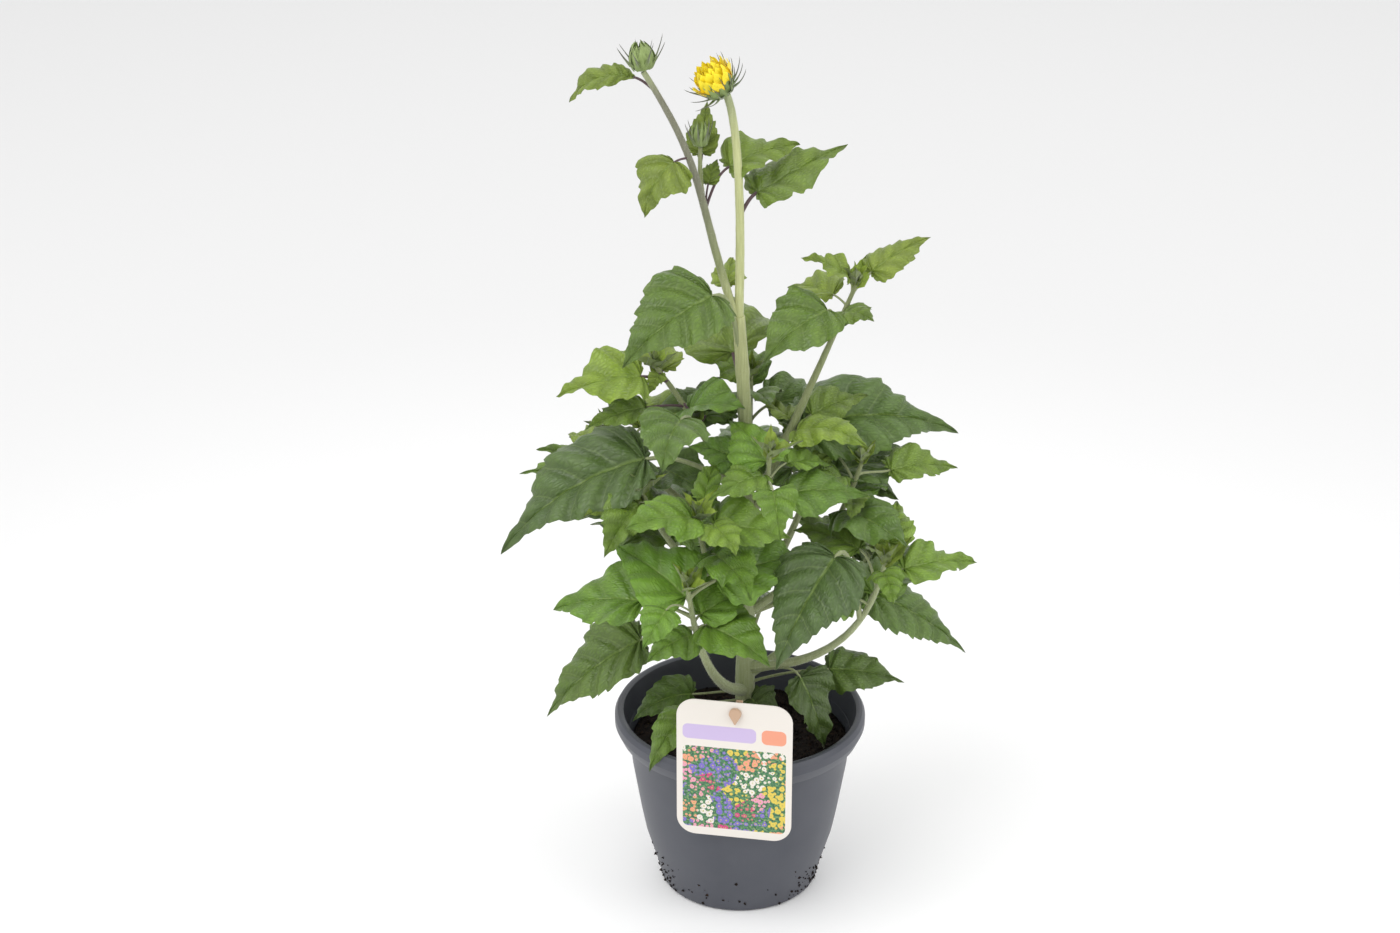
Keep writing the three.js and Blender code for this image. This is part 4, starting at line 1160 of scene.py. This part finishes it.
def young_leaves(into, tip, heading, rng, count):
    """Folded young leaves round the tip of a shoot."""
    look = settings("leaf")
    turn = math.degrees(math.atan2(heading[1], heading[0]))
    # Each next leaf is shorter and steeper, and starts nearer to the tip
    for k in range(count):
        length = 30 - 3.4 * k
        shape = (turn + 60 + 100 * k, 34 + 9 * k, length, 0.56, rng.uniform(-10, 20), rng.uniform(-10, 25))
        foot = tip - heading * (3 - 0.7 * k)
        shade = mix(look.young, look.light, rng.uniform(0, 0.6)) * rng.uniform(0.9, 1.1)
        blade(into, foot, shape, shade, rng, "young", tooth=0.03, fold=30, wave=0.04, thick=0.3)


def make_leaves():
    """All leaves with their stalks: the masses' rows and the large leaves, joined by kind."""
    stem_look = settings("stem")
    green_stalk = mix(stem_look.grey, stem_look.olive, 0.5)
    rng = np.random.default_rng(7)
    pieces = {name: Gathered() for name in ("leaves_front", "leaves_back", "leaves_large", "leaves_old")}
    masses = {"side": (LIMBS["side_stalk"][0], SIDE_STALK_LEAVES)}
    masses.update({name: (LIMBS[name][0], shoot[4]) for name, shoot in SHOOTS.items()})
    stood = {name: [] for name in pieces}
    for name, (curve, rows) in masses.items():
        piece = "leaves_back" if name.startswith("back") else "leaves_front"
        stood[piece].append("mass_" + name)
        into, length = pieces[piece], curve_length(curve)
        base_age, fresh = SHOOT_LOOKS.get(name, SHOOT_LOOKS[""])
        for below, turn, pitch, long, wide, stalk, rise in rows:
            age = base_age
            if name != "side":
                age += (below - AGE_BELOW) / LIFETIME + max(0, long - AGE_LONGER) / LIFETIME
            roll = FACING * math.cos(math.radians(turn))
            row = (turn, pitch, long, wide, stalk, rise, DROOP, roll)
            form = {"outline": "heart", "tooth": 0.004} if (name, turn, pitch) in SMOOTH_LEAVES else {}
            dark = name == "side" or name == "upper_left" and stalk < 60
            shade = stem_look.purple if dark else green_stalk
            # The oldest leaves lose their freshness
            clear = 0.8 if form else fresh * min(1, 4 * max(0, 0.9 - age))
            grow_leaf(into, on_curve(curve, 1 - below / length), row, age, clear, rng, shade, **form)
        if name != "side":
            tip, before = on_curve(curve, 1), on_curve(curve, 0.97)
            young_leaves(into, tip, (tip - before) / np.linalg.norm(tip - before), rng, 6)
    for name, (stem, part, turn, pitch, long, wide, stalk, rise, droop, roll) in LARGE_LEAVES.items():
        age, fresh, painted_brightness, form = LEAF_LOOKS[name]
        piece = "leaves_old" if long > OLD_PAST else "leaves_large"
        stood[piece].append("leaf_" + name)
        dark = name in DARK_STALKS or stem == "left_stem"
        shade = stem_look.purple if dark else green_stalk
        row = (turn, pitch, long, wide, stalk, rise, droop, roll)
        grow_leaf(pieces[piece], on_curve(LIMBS[stem][0], part), row, age, fresh, rng, shade,
                  painted_brightness=painted_brightness, **form)
    faces = [leaf_face("sunflower leaf, upper face"), leaf_face("sunflower leaf, underside", True),
             hairy_stem("hairy leaf stalk")]
    for name, gathered in pieces.items():
        slot = "old_leaves" if name == "leaves_old" else "leaves"
        finish_piece(gathered.build(name, faces), slot, *stood[name])


# Florets of the open head's disc: count, turn from one to the next, disc's radius, middle height
FLORETS, NEXT_FLORET, DISC_RADIUS, DISC_TOP = 130, 137.508, 9.6, 13.4
# A floret's heights over its foot, and its radii there
FLORET = ((-1.5, 0.4, 1.3, 1.8), (0.45, 0.55, 0.4, 0.1))


def add_rings(rings, bracts, petals, rng):
    """Adds a head's rings of bracts and petals."""
    look = settings("head")
    teeth, to_tooth, _, half = GRIDS["blade"]
    q = np.linspace(0, 1, teeth * to_tooth + 1)[:, None, None] * np.ones((1, 2 * len(half) - 1, 1))
    ends = {"petal": (look.petal_foot, look.petal), "scale": (look.bract, look.bract_light),
            "needle": (look.bract, look.bract_tip)}
    for ring, (kind, count, radius, height, spread, length, wide, droop) in enumerate(rings):
        loose = 3 if kind == "scale" else 12
        for i in range(count):
            way = 360 * (i + ring / 2) / count + rng.uniform(-5, 5)
            root = direction(way, 0) * radius + (0, 0, height)
            pitch = 90 - spread + rng.uniform(-loose, loose)
            shape = (way, pitch, length * rng.uniform(0.85, 1.15), wide, droop, rng.uniform(-12, 12))
            tint = mix(*ends[kind], np.clip(q * 2.5 - 0.8, 0, 1)) * rng.uniform(0.9, 1.1)
            twist, swing = rng.uniform(-25, 25), rng.uniform(-30, 30)
            form = {"petal": {"fold": 10, "wave": 0.05, "notch": 0.025, "twist": twist},
                    "scale": {"fold": 8, "wave": 0.0},
                    "needle": {"fold": 22, "wave": 0.0, "swing": swing}}[kind]
            blade(petals if kind == "petal" else bracts, root, shape, tint, rng, "blade", kind,
                  thick=0.3, **form)


def add_florets(disc, rng):
    """Adds the young florets of an open head, each a golden angle on from the last."""
    look = settings("head")
    for k in range(FLORETS):
        spot = direction(NEXT_FLORET * k, 0) * DISC_RADIUS * math.sqrt((k + 0.5) / FLORETS)
        spot[2] = DISC_TOP - 0.02 * (spot @ spot)
        tube(disc, [spot + (0, 0, height) for height in FLORET[0]], FLORET[1],
             mix(look.disc, look.bract, rng.uniform(0, 0.6)), 0, 6)


def make_heads():
    """Flower heads: cups, overlapping bracts with drawn-out tips, petals and young disc florets."""
    rng = np.random.default_rng(5)
    bracts, petals, disc = Gathered(), Gathered(), Gathered()
    cups = []
    for name, (stem, turn, rise, cup, rings) in HEADS.items():
        lean = direction(turn, rise)
        place = LIMBS[stem][0][-1] + lean * (GAP + 0.1)
        tilt = np.array(Vector((0, 0, 1)).rotation_difference(Vector(lean)).to_matrix())
        for into in (bracts, petals, disc):
            into.turned, into.origin = tilt, place
        add_rings(rings, bracts, petals, rng)
        body = spun(name + "_cup", cup, 32)
        body.data.transform(Matrix.Translation(place * MM) @ Matrix(tilt.tolist()).to_4x4())
        cups.append(body)
        if name == "head_bloom":
            add_florets(disc, rng)
    cup = joined("head_cups", cups)
    tint = cup.data.attributes.new("tint", "FLOAT_COLOR", "POINT")
    for shade in tint.data:
        shade.color = (*settings("head").bract, 1)
    smooth(cup, 60)
    green = hairy_stem("hairy bract")
    dress(cup, green)
    finish_piece(cup, "bracts")
    finish_piece(bracts.build("bracts", [green, green]), "bracts", *HEADS)
    yellow = petal_face("sunflower petal")
    finish_piece(petals.build("petals", [yellow, yellow]), "petals")
    finish_piece(disc.build("disc_florets", [petal_face("young disc florets")]), "petals")


# Turns a flat shape to face -Y
UPRIGHT = (math.pi / 2, 0, 0)


def forwards(mm):
    """The step that thickens a flat shape towards -Y."""
    return bpy.ops.mesh.extrude_region_move, {"TRANSFORM_OT_translate": {"value": (0, -mm * MM, 0)}}


def stand_label(piece):
    """Turns a label piece that faces -Y about the pot's axis, as the label stands."""
    turn = Matrix.Rotation(math.radians(LABEL["turn"]), 4, "Z")
    alone(piece)
    piece.data.transform(turn @ piece.matrix_world)
    piece.matrix_world = Matrix.Identity(4)


def make_card():
    """The printed card; its back is bare."""
    look = settings("label")
    card = started(bpy.ops.mesh.primitive_plane_add, size=1, rotation=UPRIGHT,
                   location=metres(LABEL["x"], -LABEL["rim"], LABEL["z"]))
    card.name = card.data.name = "label_card"
    card.scale = (LABEL["width"] * MM, LABEL["height"] * MM, 1)
    bpy.ops.object.transform_apply(location=True, rotation=True, scale=True)
    reshaped(card,
             (bpy.ops.mesh.bevel, {"offset": LABEL["corner"] * MM, "offset_type": "OFFSET", "segments": 12,
                                   "affect": "VERTICES"}),
             forwards(LABEL["thick"]), OUTWARDS)
    apply(card, "BEVEL", width=0.00018, segments=2, limit_method="ANGLE", angle_limit=math.radians(60))
    smooth(card, 40)
    dress(card, printed_card("coated label card"), soft_plastic("bare card", look.card, 0.95, 0.5))
    for face in card.data.polygons:
        face.material_index = 1 if face.normal.y > 0.5 else 0
    stand_label(card)
    finish_piece(card, "label_card", "label")


def make_peg():
    """The moulded peg: a strip in the soil behind the card, a pin through it and a drop in front."""
    front, foot = -(LABEL["rim"] + LABEL["thick"] + GAP), SOIL_TOP - 10
    strip = started(bpy.ops.mesh.primitive_cube_add, size=1,
                    location=metres(STAKE["x"], STAKE["y"], (STAKE["top"] + foot) / 2))
    strip.scale = metres(STAKE["width"], STAKE["thick"], STAKE["top"] - foot)
    pin = started(bpy.ops.mesh.primitive_cylinder_add, vertices=24, radius=PIN["radius"] * MM,
                  depth=(STAKE["y"] - front) * MM, rotation=UPRIGHT,
                  location=metres(STAKE["x"], (STAKE["y"] + front) / 2, PIN["z"]))
    half, longer = DROP["width"] / 2, DROP["height"] - DROP["width"]
    drop = started(bpy.ops.mesh.primitive_circle_add, vertices=32, radius=half * MM, fill_type="NGON",
                   location=metres(STAKE["x"], front, PIN["z"] + longer / 2), rotation=UPRIGHT)
    # The lower half of the circle is drawn out and narrowed to the drop's tip
    for corner in drop.data.vertices:
        if corner.co.y < 0:
            low = -corner.co.y / (half * MM)
            corner.co.x *= 1 - 0.55 * low ** 2
            corner.co.y *= 1 + longer / half * low ** 2
    reshaped(drop, forwards(DROP["thick"]), OUTWARDS)
    for part in (strip, pin, drop):
        alone(part)
        bpy.ops.object.transform_apply(location=True, rotation=True, scale=True)
        apply(part, "BEVEL", width=0.0006, segments=3, limit_method="ANGLE", angle_limit=math.radians(50))
    peg = joined("label_peg", [strip, pin, drop])
    smooth(peg, 40)
    dress(peg, soft_plastic("moulded peg", settings("label").peg, 0.9, 0.45))
    stand_label(peg)
    finish_piece(peg, "label_peg", "label_stake")


# The floor is painted white round the plant and a little darker from this distance in metres on, as painted
# shade where the light falls off
FLOOR_FAR, FLOOR_FAR_SHADE = 1.3, 0.795
# The camera at the photograph's angle: place, tilt in degrees, lens in millimetres
CAMERA, CAMERA_TILT, LENS = (-0.0303, -1.7544, 1.1394), 65.63, 68.0
# What the lamps point at
AIM = (0, 0, 0.3)


def studio_floor(name):
    """Matt floor with painted shade: it darkens a little with distance, as the light falls off."""
    material, add, shader, place = surface(name)
    far = add("VectorMath", {0: place}, operation="LENGTH").outputs["Value"]
    tone = add("MapRange", {0: far, 1: 0.0, 2: FLOOR_FAR, 3: 1.0, 4: FLOOR_FAR_SHADE},
               interpolation_type="SMOOTHSTEP")
    shade = add("HueSaturation", {"Color": settings("stage").floor, "Value": tone})
    fill(shader, {"Base Color": shade, "Roughness": 0.9})
    return material


def make_stage():
    """A pale floor, soft studio light and the camera at the photograph's angle."""
    look = settings("stage")
    scene = bpy.context.scene
    floor = started(bpy.ops.mesh.primitive_plane_add, size=14, location=(0, 0, -0.0005))
    floor.name = "floor"
    dress(floor, studio_floor("matt studio floor"))
    world = bpy.data.worlds.new("studio")
    world.use_nodes = True
    fill(world.node_tree.nodes["Background"], {0: WHITE, 1: look.sky})
    scene.world = world
    for name, power, width, spot in (("main light", look.key, 2.4, (-1.6, -1.4, 2.8)),
                                     ("fill light", look.fill, 2.0, (2.2, -1.0, 1.6)),
                                     ("back light", look.fill * 0.4, 2.0, (0.4, 2.4, 2.4))):
        lamp = bpy.data.lights.new(name, "AREA")
        lamp.energy, lamp.size = power, width
        held = bpy.data.objects.new(name, lamp)
        held.location = spot
        held.rotation_euler = (Vector(AIM) - Vector(spot)).to_track_quat("-Z", "Y").to_euler()
        scene.collection.objects.link(held)
    camera = bpy.data.objects.new("camera", bpy.data.cameras.new("camera"))
    camera.data.lens, camera.data.sensor_width = LENS, 36
    camera.location = CAMERA
    camera.rotation_euler = (math.radians(CAMERA_TILT), 0, 0)
    scene.collection.objects.link(camera)
    scene.camera = camera
    scene.view_settings.view_transform = "Standard"


class SUNFLOWER_OT_pot(bpy.types.Operator):
    """Make the nursery pot"""
    bl_idname, bl_label, bl_options = "sunflower.pot", "Pot", {"REGISTER", "UNDO"}

    def execute(self, context):
        make_pot()
        return {"FINISHED"}


class SUNFLOWER_OT_soil(bpy.types.Operator):
    """Make the peat and its crumbs"""
    bl_idname, bl_label, bl_options = "sunflower.soil", "Soil", {"REGISTER", "UNDO"}

    def execute(self, context):
        make_soil()
        return {"FINISHED"}


class SUNFLOWER_OT_stems(bpy.types.Operator):
    """Make the trunk, the stems and the boughs, with their hairs"""
    bl_idname, bl_label, bl_options = "sunflower.stems", "Stems", {"REGISTER", "UNDO"}

    def execute(self, context):
        make_stems()
        make_hairs()
        return {"FINISHED"}


class SUNFLOWER_OT_leaves(bpy.types.Operator):
    """Make all leaves with their stalks"""
    bl_idname, bl_label, bl_options = "sunflower.leaves", "Leaves", {"REGISTER", "UNDO"}

    def execute(self, context):
        make_leaves()
        return {"FINISHED"}


class SUNFLOWER_OT_heads(bpy.types.Operator):
    """Make the flower heads"""
    bl_idname, bl_label, bl_options = "sunflower.heads", "Flower heads", {"REGISTER", "UNDO"}

    def execute(self, context):
        make_heads()
        return {"FINISHED"}


class SUNFLOWER_OT_label(bpy.types.Operator):
    """Make the plant label and its peg"""
    bl_idname, bl_label, bl_options = "sunflower.label", "Plant label", {"REGISTER", "UNDO"}

    def execute(self, context):
        make_card()
        make_peg()
        return {"FINISHED"}


class SUNFLOWER_OT_stage(bpy.types.Operator):
    """Make the floor, the lights and the camera"""
    bl_idname, bl_label, bl_options = "sunflower.stage", "Stage", {"REGISTER", "UNDO"}

    def execute(self, context):
        make_stage()
        return {"FINISHED"}


GROUPS = {"pot": PotSettings, "stem": StemSettings, "leaf": LeafSettings, "head": HeadSettings,
          "label": LabelSettings, "stage": StageSettings}
OPERATORS = (SUNFLOWER_OT_pot, SUNFLOWER_OT_soil, SUNFLOWER_OT_stems, SUNFLOWER_OT_leaves,
             SUNFLOWER_OT_heads, SUNFLOWER_OT_label, SUNFLOWER_OT_stage)


class SUNFLOWER_PT_plant(bpy.types.Panel):
    """The plant's settings and pieces"""
    bl_idname, bl_label = "SUNFLOWER_PT_plant", "Potted sunflower"
    bl_space_type, bl_region_type, bl_category = "VIEW_3D", "UI", "Sunflower"

    def draw(self, context):
        for name, group in GROUPS.items():
            box = self.layout.box()
            box.label(text=group.__doc__)
            for key in group.__annotations__:
                box.prop(settings(name), key)
        for operator in OPERATORS:
            self.layout.operator(operator.bl_idname)


def register():
    """Registers the classes and puts the settings on the scene."""
    for part in (*GROUPS.values(), *OPERATORS, SUNFLOWER_PT_plant):
        bpy.utils.register_class(part)
    for name, group in GROUPS.items():
        setattr(bpy.types.Scene, "sunflower_" + name, PointerProperty(type=group))


def unregister():
    """Takes the settings off the scene and unregisters the classes."""
    for name in GROUPS:
        delattr(bpy.types.Scene, "sunflower_" + name)
    for part in (SUNFLOWER_PT_plant, *reversed(OPERATORS), *reversed(GROUPS.values())):
        bpy.utils.unregister_class(part)


def main():
    """Makes the whole object and its stage."""
    register()
    for operator in OPERATORS:
        group, name = operator.bl_idname.split(".")
        getattr(getattr(bpy.ops, group), name)()


if __name__ == "__main__":
    main()
